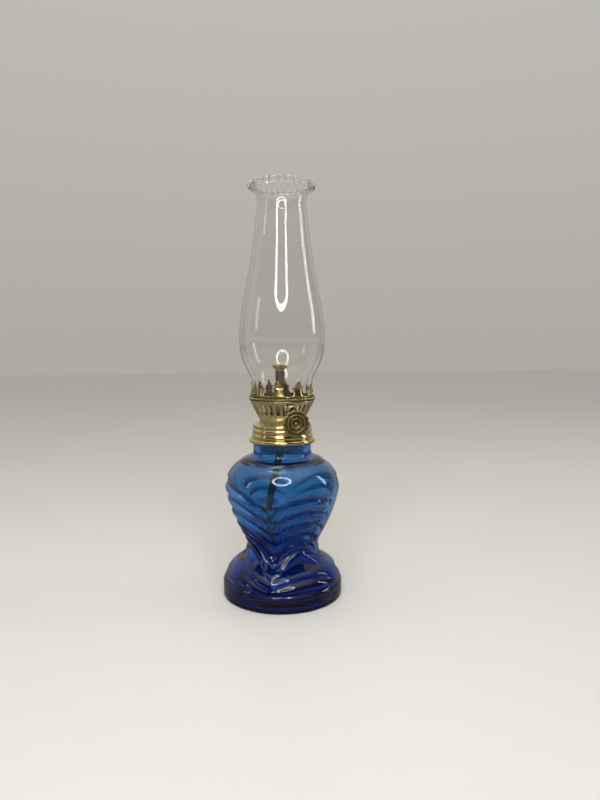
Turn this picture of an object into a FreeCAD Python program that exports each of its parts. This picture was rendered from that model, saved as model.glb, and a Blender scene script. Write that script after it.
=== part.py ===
"""A small oil lamp: blue glass font, brass burner with a flat wick, and a clear glass chimney.

Millimetres. +Z is up and the origin is on the table, under the middle of the foot.
The wick winder's shaft runs along Y and its knob is on the -Y side.
"""

import FreeCAD, Part
import Sketcher
import math
import operator
import os

# ---------------------------------------------------------------- driving sizes
SIZES = {
    # glass font: one blown vessel, foot and oil space in one piece; each rise is from the level below
    "foot_radius": 32.5,
    "foot_band_height": 8.4,
    "foot_edge_round": 0.8,
    "foot_ring_width": 7.0,
    "punt_height": 1.0,
    "foot_dome_radius": 25.2,
    "foot_dome_rise": 10.4,
    "waist_radius": 19.9,
    "waist_rise": 7.7,
    "flank_radius": 21.4,
    "flank_rise": 6.5,
    "belly_radius": 31.05,
    "belly_rise": 25.0,
    "shoulder_radius": 20.2,
    "shoulder_rise": 17.2,
    "neck_radius": 15.7,
    "neck_foot_rise": 1.6,
    "neck_rise": 6.0,
    "lip_step": 1.5,
    "lip_rise": 4.2,
    "lip_wall": 1.6,
    "glass_wall": 2.6,
    "base_thickness": 4.0,
    # collar and its cement
    "collar_wall": 0.7,
    "cement_gap": 0.9,
    "inner_cement_gap": 0.5,
    "cement_lift": 0.8,
    "rim_overhang": 2.75,
    "rim_height": 2.5,
    "rim_lift": 0.4,
    "collar_top_flare": 0.1,
    "collar_edge_round": 0.5,
    "thread_depth": 0.45,
    "thread_pitch": 1.6,
    "thread_turns": 4,
    "thread_clearance": 0.15,
    "collar_tube_drop": 8.8,
    # burner base
    "sheet_wall": 0.7,
    "skirt_drop": 8.2,
    "cap_overhang": 0.3,
    "cap_height": 4.6,
    "cap_bead_lift": 0.5,
    "cap_bead_height": 1.6,
    "cap_bead_reach": 0.2,
    "cap_wall_step": 0.3,
    "cap_edge_round": 0.6,
    "solder_gap": 0.05,
    # basket
    "basket_neck_step": 0.85,
    "basket_neck_height": 7.6,
    "basket_ledge": 2.2,
    "basket_height": 17.6,
    "basket_shoulder_rise": 1.2,
    "slot_width": 1.7,
    "slot_foot_margin": 1.0,
    "slot_head_margin": 1.4,
    "slot_places": 26,
    "boss_half_width": 2.6,
    "boss_overhang": 0.6,
    "boss_head_margin": 1.7,
    "boss_lift": 0.1,
    # draught plate, pearl band and prongs
    "plate_overhang": 0.15,
    "plate_hole_radius": 0.9,
    "plate_hole_count": 12,
    "plate_hole_margin": 6.55,
    "band_thickness": 0.2,
    "band_height": 2.1,
    "band_lift": 0.2,
    "crown_ring_height": 2.8,
    "prong_count": 10,
    "prong_width": 4.7,
    "prong_grip_gap": 0.15,
    "prong_crease_rise": 7.3,
    "prong_tip_rise": 11.0,
    "prong_tip_width": 2.9,
    "prong_tip_splay": 1.2,
    "prong_azimuth": -20.5,
    # wick and its tube
    "wick_offset": -1.4,
    "wick_width": 9.6,
    "wick_thickness": 2.0,
    "wick_gap": 0.15,
    "tube_wall": 0.4,
    "tube_drop": 4.1,
    "tube_rise": 26.9,
    "wick_show": 9.6,
    # winder
    "shaft_gap": 0.65,
    "shaft_rise": 7.2,
    "shaft_radius": 0.8,
    "bearing_clearance": 0.05,
    "press_clearance": 0.02,
    "boss_hole_clearance": 0.2,
    "shaft_end_round": 0.2,
    "spur_clearance": 0.08,
    "spur_tooth_depth": 0.55,
    "spur_tip_half": 0.08,
    "spur_thickness": 0.8,
    "spur_spacing": 5.2,
    "spur_teeth": 10,
    "window_clearance": 0.25,
    "housing_half_length": 4.9,
    "housing_clearance": 0.35,
    "knob_radius": 7.1,
    "knob_thickness": 2.0,
    "knob_standoff": 7.5,
    "knob_edge_round": 0.4,
    "knob_dish": 0.25,
    "knob_hub_radius": 2.2,
    "knob_hub_length": 2.6,
    "knob_lobes": 14,
    "knob_notch_radius": 0.8,
    # vapour vent
    "vent_skirt_gap": 1.85,
    "vent_radius": 1.0,
    "vent_height": 10.0,
    # chimney; each rise is from the level below
    "chimney_wall": 1.7,
    "fitter_radius": 15.3,
    "fitter_top_radius": 15.9,
    "fitter_rise": 8.1,
    "bulge_foot_radius": 19.0,
    "bulge_foot_rise": 7.9,
    "bulge_radius": 23.05,
    "bulge_rise": 14.5,
    "bulge_top_radius": 20.6,
    "bulge_top_rise": 23.1,
    "throat_start_radius": 14.1,
    "throat_start_rise": 40.4,
    "throat_radius": 13.2,
    "throat_rise": 7.0,
    "bead_circle_radius": 16.65,
    "bead_radius": 1.45,
    "bead_rise": 11.55,
}

doc = FreeCAD.newDocument("oil_lamp")
sheet = doc.addObject("Spreadsheet::Sheet", "Sizes")
for row, (alias, number) in enumerate(SIZES.items(), start=1):
    sheet.set(f"A{row}", alias)
    sheet.set(f"B{row}", str(number))
    sheet.setAlias(f"B{row}", alias)
doc.recompute()


# ---------------------------------------------------------------- sizes that stay tied to the sheet
class Size:
    """A size with its number today and the formula that gives it from the sheet."""

    def __init__(self, number, formula):
        self.number = float(number)
        self.formula = formula

    def __add__(self, other):
        return joined(self, "+", other)

    def __radd__(self, other):
        return joined(other, "+", self)

    def __sub__(self, other):
        return joined(self, "-", other)

    def __rsub__(self, other):
        return joined(other, "-", self)

    def __mul__(self, other):
        return joined(self, "*", other)

    def __rmul__(self, other):
        return joined(other, "*", self)

    def __truediv__(self, other):
        return joined(self, "/", other)

    def __rtruediv__(self, other):
        return joined(other, "/", self)

    def __neg__(self):
        return joined(0.0, "-", self)


SIGNS = {"+": operator.add, "-": operator.sub, "*": operator.mul, "/": operator.truediv}


def as_size(value):
    return value if isinstance(value, Size) else Size(value, repr(float(value)))


def joined(left, sign, right):
    left = as_size(left)
    right = as_size(right)
    number = SIGNS[sign](left.number, right.number)
    return Size(number, f"({left.formula} {sign} {right.formula})")


def root(value):
    return Size(math.sqrt(value.number), f"sqrt({value.formula})")


def size(alias):
    return Size(sheet.get(alias), f"Sizes.{alias}")


def count(alias):
    return int(round(sheet.get(alias)))


def chord(start, end):
    """The straight distance between two outline corners."""
    across = end[0] - start[0]
    up = end[1] - start[1]
    return root(across * across + up * up)


def between(start, end, share):
    """A size that lies a share of the way from one size to another."""
    return start + (end - start) * share


# ---------------------------------------------------------------- sketch and feature helpers
nodes = []


def new_body(label):
    body = doc.addObject("PartDesign::Body", label)
    body.Label = label
    nodes.append(body)
    return body


def origin_feature(body, role):
    return next(item for item in body.Origin.OriginFeatures if item.Role == role)


def new_sketch(body, name, plane="XZ_Plane", lift=0.0, turn=None):
    """A sketch on one of the body's own planes, lifted along its normal and turned about its up axis."""
    sketch = body.newObject("Sketcher::SketchObject", f"{body.Name}_{name}")
    sketch.AttachmentSupport = [(origin_feature(body, plane), "")]
    sketch.MapMode = "FlatFace"
    lift = as_size(lift)
    if turn is not None:
        turned = FreeCAD.Rotation(FreeCAD.Vector(0, 1, 0), turn.number)
        sketch.AttachmentOffset = FreeCAD.Placement(FreeCAD.Vector(), turned)
        sketch.setExpression("AttachmentOffset.Rotation.Angle", f"({turn.formula}) * 1 deg")
    sketch.setExpression("AttachmentOffset.Base.z", lift.formula)
    return sketch


def tie(sketch, kind, geometry, point, value, name):
    """Hold one coordinate of a point at its size, measured from the sketch's origin."""
    axis = -2 if kind == "DistanceX" else -1
    if abs(value.number) < 1e-9:
        sketch.addConstraint(Sketcher.Constraint("PointOnObject", geometry, point, axis))
        return
    if value.number > 0:
        made = Sketcher.Constraint(kind, -1, 1, geometry, point, value.number)
    else:
        value = -value
        made = Sketcher.Constraint(kind, geometry, point, -1, 1, value.number)
    index = sketch.addConstraint(made)
    sketch.renameConstraint(index, name)
    sketch.setExpression(f"Constraints.{name}", value.formula)


def draw_outline(sketch, corners, tag="edge"):
    """Draw a closed outline. A corner is (across, up) or, where the edge that leaves it is an
    arc, (across, up, radius, "left" or "right"), the side that the arc turns to."""
    ends = []
    for index, corner in enumerate(corners):
        after = corners[(index + 1) % len(corners)]
        start = FreeCAD.Vector(as_size(corner[0]).number, as_size(corner[1]).number, 0)
        end = FreeCAD.Vector(as_size(after[0]).number, as_size(after[1]).number, 0)
        if len(corner) == 2:
            geometry = sketch.addGeometry(Part.LineSegment(start, end), False)
            ends.append((geometry, 1, 2))
            continue
        radius = corner[2]
        run = end - start
        side = FreeCAD.Vector(-run.y, run.x, 0).normalize()
        if corner[3] == "right":
            side = -side
        reach = math.sqrt(max(radius.number ** 2 - run.Length ** 2 / 4, 0.0))
        centre = start + run * 0.5 + side * reach
        circle = Part.Circle(centre, FreeCAD.Vector(0, 0, 1), radius.number)
        start_angle = math.atan2(start.y - centre.y, start.x - centre.x)
        end_angle = math.atan2(end.y - centre.y, end.x - centre.x)
        if corner[3] == "left":
            arc = Part.ArcOfCircle(circle, start_angle, end_angle)
            geometry = sketch.addGeometry(arc, False)
            ends.append((geometry, 1, 2))
        else:
            arc = Part.ArcOfCircle(circle, end_angle, start_angle)
            geometry = sketch.addGeometry(arc, False)
            ends.append((geometry, 2, 1))
    for index, (geometry, start_point, _) in enumerate(ends):
        before = ends[index - 1]
        joint = Sketcher.Constraint("Coincident", before[0], before[2], geometry, start_point)
        sketch.addConstraint(joint)
    for index, (geometry, start_point, _) in enumerate(ends):
        across = as_size(corners[index][0])
        up = as_size(corners[index][1])
        tie(sketch, "DistanceX", geometry, start_point, across, f"{tag}_across_{index}")
        tie(sketch, "DistanceY", geometry, start_point, up, f"{tag}_up_{index}")
        if len(corners[index]) == 4:
            bend = Sketcher.Constraint("Radius", geometry, corners[index][2].number)
            made = sketch.addConstraint(bend)
            sketch.renameConstraint(made, f"{tag}_bend_{index}")
            sketch.setExpression(f"Constraints.{tag}_bend_{index}", corners[index][2].formula)


def draw_circle(sketch, across, up, radius, tag="circle"):
    across = as_size(across)
    up = as_size(up)
    centre = FreeCAD.Vector(across.number, up.number, 0)
    circle = Part.Circle(centre, FreeCAD.Vector(0, 0, 1), radius.number)
    geometry = sketch.addGeometry(circle, False)
    tie(sketch, "DistanceX", geometry, 3, across, f"{tag}_across")
    tie(sketch, "DistanceY", geometry, 3, up, f"{tag}_up")
    index = sketch.addConstraint(Sketcher.Constraint("Radius", geometry, radius.number))
    sketch.renameConstraint(index, f"{tag}_radius")
    sketch.setExpression(f"Constraints.{tag}_radius", radius.formula)


def box_corners(left, right, low, high):
    return [(left, low), (right, low), (right, high), (left, high)]


def revolve(body, corners, name="profile"):
    sketch = new_sketch(body, name)
    draw_outline(sketch, corners)
    feature = body.newObject("PartDesign::Revolution", f"{body.Name}_turned")
    feature.Profile = sketch
    feature.ReferenceAxis = (sketch, ["V_Axis"])
    feature.Angle = 360.0
    doc.recompute()
    return feature


def pad(body, sketch, length, both_ways=False):
    feature = body.newObject("PartDesign::Pad", f"{sketch.Name}_pad")
    feature.Profile = sketch
    feature.Midplane = both_ways
    feature.setExpression("Length", length.formula)
    doc.recompute()
    return feature


def pocket(body, sketch, length=None, forward=False, both_ways=False):
    """Cut along the sketch's normal (forward) or against it, and make sure that it cut something."""
    before = body.Shape.Volume
    feature = body.newObject("PartDesign::Pocket", f"{sketch.Name}_cut")
    feature.Profile = sketch
    feature.Reversed = forward
    feature.Midplane = both_ways
    if length is None:
        feature.Type = "ThroughAll"
    else:
        feature.setExpression("Length", length.formula)
    doc.recompute()
    if body.Shape.Volume > before - 1e-6:
        raise RuntimeError(f"{feature.Name} cuts nothing")
    return feature


def repeat_round(body, feature, places, angle=None):
    """Repeat a feature round the body's Z axis, all the way round or through an angle in degrees."""
    pattern = body.newObject("PartDesign::PolarPattern", f"{feature.Name}_round")
    pattern.Originals = [feature]
    pattern.Axis = (origin_feature(body, "Z_Axis"), [""])
    pattern.Angle = 360.0
    if angle is not None:
        pattern.setExpression("Angle", f"{angle.formula} * 1 deg")
    pattern.setExpression("Occurrences", places.formula)
    body.Tip = pattern
    doc.recompute()
    return pattern


def round_radius(start, end, roundness):
    """An arc's radius as a share of its chord, so that the arc exists at any size."""
    return chord(start, end) * roundness


def thread_corners(root_radius, crest_radius, low, upwards):
    """The corners of a rolled thread's ridges on an upright wall, from bottom to top or back."""
    pitch = size("thread_pitch")
    corners = []
    for turn in range(count("thread_turns")):
        corners.append((root_radius, low + pitch * turn))
        corners.append((crest_radius, low + pitch * (turn + 0.5)))
    corners.append((root_radius, low + pitch * count("thread_turns")))
    return corners if upwards else corners[::-1]


# ---------------------------------------------------------------- levels and fits shared by the pieces
dome_height = size("foot_band_height") + size("foot_dome_rise")
waist_height = dome_height + size("waist_rise")
flank_height = waist_height + size("flank_rise")
belly_height = flank_height + size("belly_rise")
shoulder_height = belly_height + size("shoulder_rise")
neck_foot_height = shoulder_height + size("neck_foot_rise")
neck_step_height = neck_foot_height + size("neck_rise")
lip_top_height = neck_step_height + size("lip_rise")
lip_radius = size("neck_radius") - size("lip_step")
mouth_radius = lip_radius - size("lip_wall")

seat = lip_top_height + size("cement_gap") + size("collar_wall")
collar_bottom = neck_step_height + size("rim_lift")
collar_bore = lip_radius + size("cement_gap")
collar_top_radius = collar_bore + size("collar_wall") + size("collar_top_flare")
collar_tube_outer = mouth_radius - size("inner_cement_gap")
collar_tube_bottom = seat - size("collar_tube_drop")
collar_plate_low = seat - size("collar_wall")
thread_bore = collar_tube_outer - size("collar_wall")
skirt_crest = thread_bore - size("thread_depth") - size("thread_clearance")
skirt_outer = skirt_crest - size("thread_depth")
skirt_bore = skirt_outer - size("sheet_wall")

plate_low = seat + size("sheet_wall")
cap_radius = collar_top_radius + size("cap_overhang")
cap_top = seat + size("cap_height")
basket_neck = thread_bore + size("basket_neck_step")
basket_inner = basket_neck - size("sheet_wall")
basket_top = seat + size("basket_height")
basket_top_radius = size("fitter_radius") + size("basket_ledge")
basket_top_inner = basket_top_radius - size("sheet_wall")
basket_neck_top = seat + size("basket_neck_height")
basket_flare = basket_neck_top + size("basket_shoulder_rise")
plate_radius = basket_top_inner + size("plate_overhang")
chimney_foot = basket_top + size("sheet_wall")

wick_offset = size("wick_offset")
half_slot_in_tube = size("wick_thickness") / 2 + size("wick_gap")
half_width_in_tube = size("wick_width") / 2 + size("wick_gap")
half_tube_thickness = half_slot_in_tube + size("tube_wall")
half_tube_width = half_width_in_tube + size("tube_wall")
tube_face = wick_offset + half_tube_thickness
tube_bottom = seat - size("tube_drop")
tube_top = seat + size("tube_rise")
wick_top = tube_top + size("wick_show")
wick_face = wick_offset + size("wick_thickness") / 2

shaft_offset = tube_face + size("shaft_radius") + size("shaft_gap")
shaft_height = seat + size("shaft_rise")
spur_tip_radius = shaft_offset - wick_face - size("spur_clearance")
boss_reach = cap_radius + size("boss_overhang")
boss_high = basket_top - size("boss_head_margin")
boss_turn = Size(
    math.degrees(math.asin(shaft_offset.number / boss_reach.number)),
    f"(asin({shaft_offset.formula} / {boss_reach.formula}) / 1 deg)",
)
knob_face_distance = boss_reach + size("knob_standoff")


# ---------------------------------------------------------------- glass font
def make_oil_font():
    """Blown glass vessel: round foot, narrow waist, full belly, shoulder, neck and a thin lip that the
    collar is cemented over. One hollow runs from the mouth down into the foot."""
    wall = size("glass_wall")
    edge = size("foot_edge_round")
    foot = size("foot_radius")
    band = (foot, size("foot_band_height"))
    dome = (size("foot_dome_radius"), dome_height)
    waist = (size("waist_radius"), waist_height)
    flank = (size("flank_radius"), flank_height)
    belly = (size("belly_radius"), belly_height)
    shoulder = (size("shoulder_radius"), shoulder_height)
    in_band = (foot - wall, size("foot_band_height") - wall * 0.3)
    in_dome = (dome[0] - wall * 0.75, dome[1] - wall * 0.75)
    in_waist = (waist[0] - wall, waist[1])
    in_flank = (flank[0] - wall, flank[1] + wall * 0.2)
    in_belly = (belly[0] - wall, belly[1])
    in_shoulder = (shoulder[0] - wall * 0.4, shoulder[1] - wall)
    punt = size("punt_height")
    ring_inner = foot - edge - size("foot_ring_width")
    base = size("base_thickness")
    corners = [
        (0.0, punt),
        (ring_inner - punt, punt),
        (ring_inner, 0.0),
        (foot - edge, 0.0, edge * 1.02, "left"),
        (foot, edge),
        (*band, round_radius(band, dome, 1.2), "left"),
        (*dome, round_radius(dome, waist, 0.95), "right"),
        (*waist, round_radius(waist, flank, 1.6), "right"),
        (*flank, round_radius(flank, belly, 3.2), "left"),
        (*belly, round_radius(belly, shoulder, 0.78), "left"),
        shoulder,
        (size("neck_radius"), neck_foot_height),
        (size("neck_radius"), neck_step_height),
        (lip_radius, neck_step_height),
        (lip_radius, lip_top_height),
        (mouth_radius, lip_top_height),
        (mouth_radius, neck_foot_height - wall * 0.3),
        (*in_shoulder, round_radius(in_shoulder, in_belly, 0.78), "right"),
        (*in_belly, round_radius(in_belly, in_flank, 3.2), "right"),
        (*in_flank, round_radius(in_flank, in_waist, 1.6), "left"),
        (*in_waist, round_radius(in_waist, in_dome, 0.95), "left"),
        (*in_dome, round_radius(in_dome, in_band, 1.2), "right"),
        in_band,
        (foot - wall, base + edge),
        (foot - wall - edge, base),
        (0.0, base),
    ]
    revolve(new_body("oil_font"), corners)


# ---------------------------------------------------------------- collar and cement
def make_neck_collar():
    """Spun brass collar: rolled rim, flared skirt over the glass lip, flat top that the burner sits on,
    and a threaded tube down inside the mouth."""
    roll = size("rim_height")
    roll_start = collar_bore + size("rim_overhang") - roll * 0.3
    rim_low = (roll_start, collar_bottom)
    rim_high = (roll_start, collar_bottom + roll)
    bore = thread_bore
    thread_low = collar_tube_bottom + size("thread_pitch") / 2
    corners = [
        (collar_bore, collar_bottom),
        (*rim_low, round_radius(rim_low, rim_high, 0.56), "left"),
        rim_high,
        (collar_top_radius + size("collar_edge_round") * 0.4, seat - size("collar_edge_round")),
        (collar_top_radius, seat),
        (bore, seat),
        *thread_corners(bore, bore - size("thread_depth"), thread_low, upwards=False),
        (bore, collar_tube_bottom),
        (collar_tube_outer, collar_tube_bottom),
        (collar_tube_outer, collar_plate_low),
        (collar_bore, collar_plate_low),
    ]
    revolve(new_body("neck_collar"), corners)


def make_collar_cement():
    """Plaster ring that holds the collar: outside, over and inside the glass lip."""
    corners = [
        (collar_tube_outer, collar_tube_bottom + size("cement_lift")),
        (mouth_radius, collar_tube_bottom + size("cement_lift")),
        (mouth_radius, lip_top_height),
        (lip_radius, lip_top_height),
        (lip_radius, collar_bottom),
        (collar_bore, collar_bottom),
        (collar_bore, collar_plate_low),
        (collar_tube_outer, collar_plate_low),
    ]
    revolve(new_body("collar_cement"), corners)


# ---------------------------------------------------------------- burner base and floor
def make_burner_base():
    """Spun brass base: threaded skirt, seat flange, beaded wall and a top plate round the basket's neck."""
    wall = size("sheet_wall")
    cap_wall = cap_radius - size("cap_wall_step")
    skirt_bottom = seat - size("skirt_drop")
    thread_low = skirt_bottom + size("thread_pitch") / 2
    bead_start = cap_wall + size("cap_bead_reach")
    bead_low = (bead_start, seat + size("cap_bead_lift"))
    bead_high = (bead_start, bead_low[1] + size("cap_bead_height"))
    edge = size("cap_edge_round")
    hole = basket_neck + size("solder_gap")
    corners = [
        (skirt_bore, skirt_bottom),
        (skirt_outer, skirt_bottom),
        *thread_corners(skirt_outer, skirt_crest, thread_low, upwards=True),
        (skirt_outer, seat),
        (cap_wall - size("cap_bead_reach") * 2, seat),
        (*bead_low, round_radius(bead_low, bead_high, 0.75), "left"),
        bead_high,
        (cap_wall, bead_high[1] + size("cap_wall_step")),
        (cap_wall, cap_top - edge, edge * 1.02, "left"),
        (cap_wall - edge, cap_top),
        (hole, cap_top),
        (hole, cap_top - wall),
        (cap_wall - wall - edge, cap_top - wall),
        (cap_wall - wall, cap_top - wall - edge),
        (cap_wall - wall, plate_low),
        (skirt_bore, plate_low),
    ]
    revolve(new_body("burner_base"), corners)


def draw_tube_slot(sketch):
    """The slot that the wick tube is soldered in."""
    half_x = half_tube_thickness + size("solder_gap")
    half_y = half_tube_width + size("solder_gap")
    slot = box_corners(wick_offset - half_x, wick_offset + half_x, -half_y, half_y)
    draw_outline(sketch, slot, "tube_slot")


def vent_offset():
    """The vent tube stands inside the skirt, across the wick tube from the shaft."""
    return size("vent_radius") + size("vent_skirt_gap") - skirt_bore


def make_burner_floor():
    """Brass disc that closes the basket's neck; the wick tube and the vent tube are soldered in it."""
    body = new_body("burner_floor")
    gap = size("solder_gap")
    sketch = new_sketch(body, "outline", "XY_Plane", plate_low)
    draw_circle(sketch, 0.0, 0.0, basket_inner - gap, "rim")
    draw_tube_slot(sketch)
    draw_circle(sketch, vent_offset(), 0.0, size("vent_radius") + gap, "vent")
    pad(body, sketch, size("sheet_wall"))


# ---------------------------------------------------------------- air basket
def make_air_basket():
    """Stamped brass basket: straight neck, flared slotted wall, and an arched boss for the shaft."""
    body = new_body("air_basket")
    wall = size("sheet_wall")
    corners = [
        (basket_inner, plate_low),
        (basket_neck, plate_low),
        (basket_neck, basket_neck_top),
        (basket_neck + wall, basket_flare),
        (basket_top_radius, basket_top),
        (basket_top_inner, basket_top),
        (basket_inner + wall, basket_flare + wall * 0.4),
        (basket_inner, basket_neck_top + wall * 0.4),
    ]
    revolve(body, corners)

    slot_pitch = 360.0 / size("slot_places")
    half = size("slot_width") / 2
    low = basket_flare + size("slot_foot_margin") + half
    high = basket_top - size("slot_head_margin") - half
    cut = new_sketch(body, "slot", turn=boss_turn + slot_pitch)
    end_round = half * 1.02
    draw_outline(cut, [
        (-half, low, end_round, "left"),
        (half, low),
        (half, high, end_round, "left"),
        (-half, high),
    ])
    slots = size("slot_places") - 1
    repeat_round(body, pocket(body, cut, forward=True), slots, 360.0 - slot_pitch * 2)

    half_boss = size("boss_half_width")
    boss_low = cap_top + size("boss_lift")
    start = basket_inner - wall
    boss = new_sketch(body, "boss", lift=start)
    draw_outline(boss, arch_corners(shaft_offset, half_boss, boss_low, boss_high))
    pad(body, boss, boss_reach - start)
    hollow = new_sketch(body, "boss_hollow", lift=start - wall)
    inside = arch_corners(shaft_offset, half_boss - wall, boss_low + wall, boss_high - wall)
    draw_outline(hollow, inside)
    pocket(body, hollow, boss_reach - start, forward=True)
    hole = new_sketch(body, "shaft_hole")
    draw_circle(hole, shaft_offset, shaft_height, size("shaft_radius") + size("boss_hole_clearance"))
    pocket(body, hole, forward=True)


def arch_corners(middle, half, low, high):
    """An upright plate with a round top."""
    spring = high - half
    return [
        (middle - half, low),
        (middle + half, low),
        (middle + half, spring, half * 1.01, "left"),
        (middle - half, spring),
    ]


# ---------------------------------------------------------------- draught plate, band and prongs
def make_draught_plate():
    """Perforated brass plate on the basket's rim: it evens the draught and the chimney stands on it."""
    body = new_body("draught_plate")
    wall = size("sheet_wall")
    sketch = new_sketch(body, "outline", "XY_Plane", basket_top)
    draw_circle(sketch, 0.0, 0.0, plate_radius, "rim")
    draw_tube_slot(sketch)
    pad(body, sketch, wall)
    holes = new_sketch(body, "hole", "XY_Plane", basket_top - wall)
    draw_circle(holes, plate_radius - size("plate_hole_margin"), 0.0, size("plate_hole_radius"))
    cut = pocket(body, holes, wall * 3, forward=True)
    repeat_round(body, cut, size("plate_hole_count"))


def make_pearl_band():
    """Pearled brass wire round the joint between the basket and the prong ring."""
    inner = basket_top_radius + size("solder_gap")
    edge = inner + size("band_thickness") * 0.35
    low = basket_top + size("band_lift")
    high = low + size("band_height")
    corners = [
        (inner, low),
        (edge, low, size("band_height") * 2.0, "left"),
        (edge, high),
        (inner, high),
    ]
    revolve(new_body("pearl_band"), corners)


def make_prong_crown():
    """Springy brass ring with ten prongs: each leans in to grip the chimney and its tip turns out."""
    body = new_body("prong_crown")
    sheet_thickness = size("sheet_wall") * 0.7
    ring_outer = basket_top_radius
    ring_inner = plate_radius + size("solder_gap")
    crease_height = basket_top + size("prong_crease_rise")
    tip_height = basket_top + size("prong_tip_rise")
    rise_in_fitter = (size("prong_crease_rise") - size("sheet_wall")) / size("fitter_rise")
    glass_at_crease = between(size("fitter_radius"), size("fitter_top_radius"), rise_in_fitter)
    crease = glass_at_crease + size("prong_grip_gap")
    ring_high = basket_top + size("crown_ring_height")
    tip = crease + size("prong_tip_splay")
    corners = [
        (ring_inner, basket_top),
        (ring_outer, basket_top),
        (ring_outer, ring_high),
        (crease + sheet_thickness, crease_height),
        (tip + sheet_thickness, tip_height),
        (tip, tip_height),
        (crease, crease_height),
        (ring_inner, ring_high - 0.2),
    ]
    revolve(body, corners)

    gap_angle = 180.0 / size("prong_count")
    gap_turn = size("prong_azimuth") + gap_angle
    lean = Size(math.sin(math.radians(gap_angle.number)), f"sin({gap_angle.formula} * 1 deg)")
    base_half = ring_outer * lean - size("prong_width") / 2
    crease_half = crease * lean - size("prong_width") * 0.47
    tip_base_half = crease * lean - size("prong_tip_width") / 2
    tip_half = tip * lean + size("solder_gap")
    round_start = ring_high + base_half * 0.55
    cut = new_sketch(body, "gap", turn=gap_turn)
    low_left = (-base_half, round_start)
    low_right = (base_half, round_start)
    draw_outline(cut, [
        (*low_left, round_radius(low_left, low_right, 0.6), "left"),
        low_right,
        (crease_half, crease_height - 0.2),
        (tip_base_half, crease_height + 0.35),
        (tip_half, tip_height),
        (tip_half, tip_height + 2.0),
        (-tip_half, tip_height + 2.0),
        (-tip_half, tip_height),
        (-tip_base_half, crease_height + 0.35),
        (-crease_half, crease_height - 0.2),
    ])
    repeat_round(body, pocket(body, cut, forward=True), size("prong_count"))


# ---------------------------------------------------------------- wick tube, housing and vent
def make_wick_tube():
    """Flat brass tube that the wick slides in, with two windows for the spur wheels."""
    body = new_body("wick_tube")
    sketch = new_sketch(body, "section", "XY_Plane", tube_bottom)
    for half_x, half_y, tag in (
        (half_tube_thickness, half_tube_width, "outer"),
        (half_slot_in_tube, half_width_in_tube, "inner"),
    ):
        edge = box_corners(wick_offset - half_x, wick_offset + half_x, -half_y, half_y)
        draw_outline(sketch, edge, tag)
    pad(body, sketch, tube_top - tube_bottom)
    spare = size("window_clearance")
    half_window = size("spur_thickness") / 2 + spare
    reach = shaft_offset - tube_face
    half_rise = root(spur_tip_radius * spur_tip_radius - reach * reach) + spare
    low = shaft_height - half_rise
    high = shaft_height + half_rise
    windows = new_sketch(body, "windows", "YZ_Plane", wick_offset)
    for place, tag in ((-0.5, "front"), (0.5, "rear")):
        middle = size("spur_spacing") * place
        draw_outline(windows, box_corners(middle - half_window, middle + half_window, low, high), tag)
    pocket(body, windows, half_tube_thickness * 2, forward=True)


def make_sprocket_housing():
    """Small brass box on the wick tube; its end walls carry the shaft."""
    body = new_body("sprocket_housing")
    wall = size("tube_wall")
    start = tube_face + size("press_clearance")
    half_room = spur_tip_radius + size("housing_clearance")
    end = shaft_offset + half_room
    height = shaft_height
    shell = new_sketch(body, "shell")
    half_shell = half_room + wall
    draw_outline(shell, box_corners(start, end + wall, height - half_shell, height + half_shell))
    pad(body, shell, size("housing_half_length") * 2, both_ways=True)
    room = new_sketch(body, "room")
    draw_outline(room, box_corners(start - wall, end, height - half_room, height + half_room))
    pocket(body, room, (size("housing_half_length") - wall) * 2, both_ways=True)
    bearings = new_sketch(body, "bearings")
    bore = size("shaft_radius") + size("bearing_clearance")
    draw_circle(bearings, shaft_offset, height, bore)
    pocket(body, bearings, size("housing_half_length") * 3, both_ways=True)


def make_vent_tube():
    """Thin brass tube beside the wick tube that lets the font breathe."""
    body = new_body("vent_tube")
    sketch = new_sketch(body, "section", "XY_Plane", plate_low - size("sheet_wall") * 0.5)
    draw_circle(sketch, vent_offset(), 0.0, size("vent_radius"), "outer")
    draw_circle(sketch, vent_offset(), 0.0, size("vent_radius") - size("tube_wall"), "inner")
    pad(body, sketch, size("vent_height"))


# ---------------------------------------------------------------- winder
def place_on_shaft(body, forward):
    """Stand a piece that was built round Z on the shaft: its Z points at -Y, forward of the lamp's axis."""
    body.Placement = FreeCAD.Placement(
        FreeCAD.Vector(shaft_offset.number, -forward.number, shaft_height.number),
        FreeCAD.Rotation(FreeCAD.Vector(1, 0, 0), 90),
    )
    body.setExpression("Placement.Base.x", shaft_offset.formula)
    body.setExpression("Placement.Base.y", (-forward).formula)
    body.setExpression("Placement.Base.z", shaft_height.formula)


def make_winder_shaft():
    """Steel rod through the housing, the boss and the knob, with a peened front end."""
    body = new_body("winder_shaft")
    radius = size("shaft_radius")
    edge = size("shaft_end_round")
    back = -(size("housing_half_length") + radius)
    front = knob_face_distance - size("knob_dish") - edge / 2
    corners = [
        (0.0, back),
        (radius - edge, back),
        (radius, back + edge),
        (radius, front - edge * 2),
        (radius - edge * 1.75, front),
        (0.0, front),
    ]
    revolve(body, corners)
    place_on_shaft(body, as_size(0.0))


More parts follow.
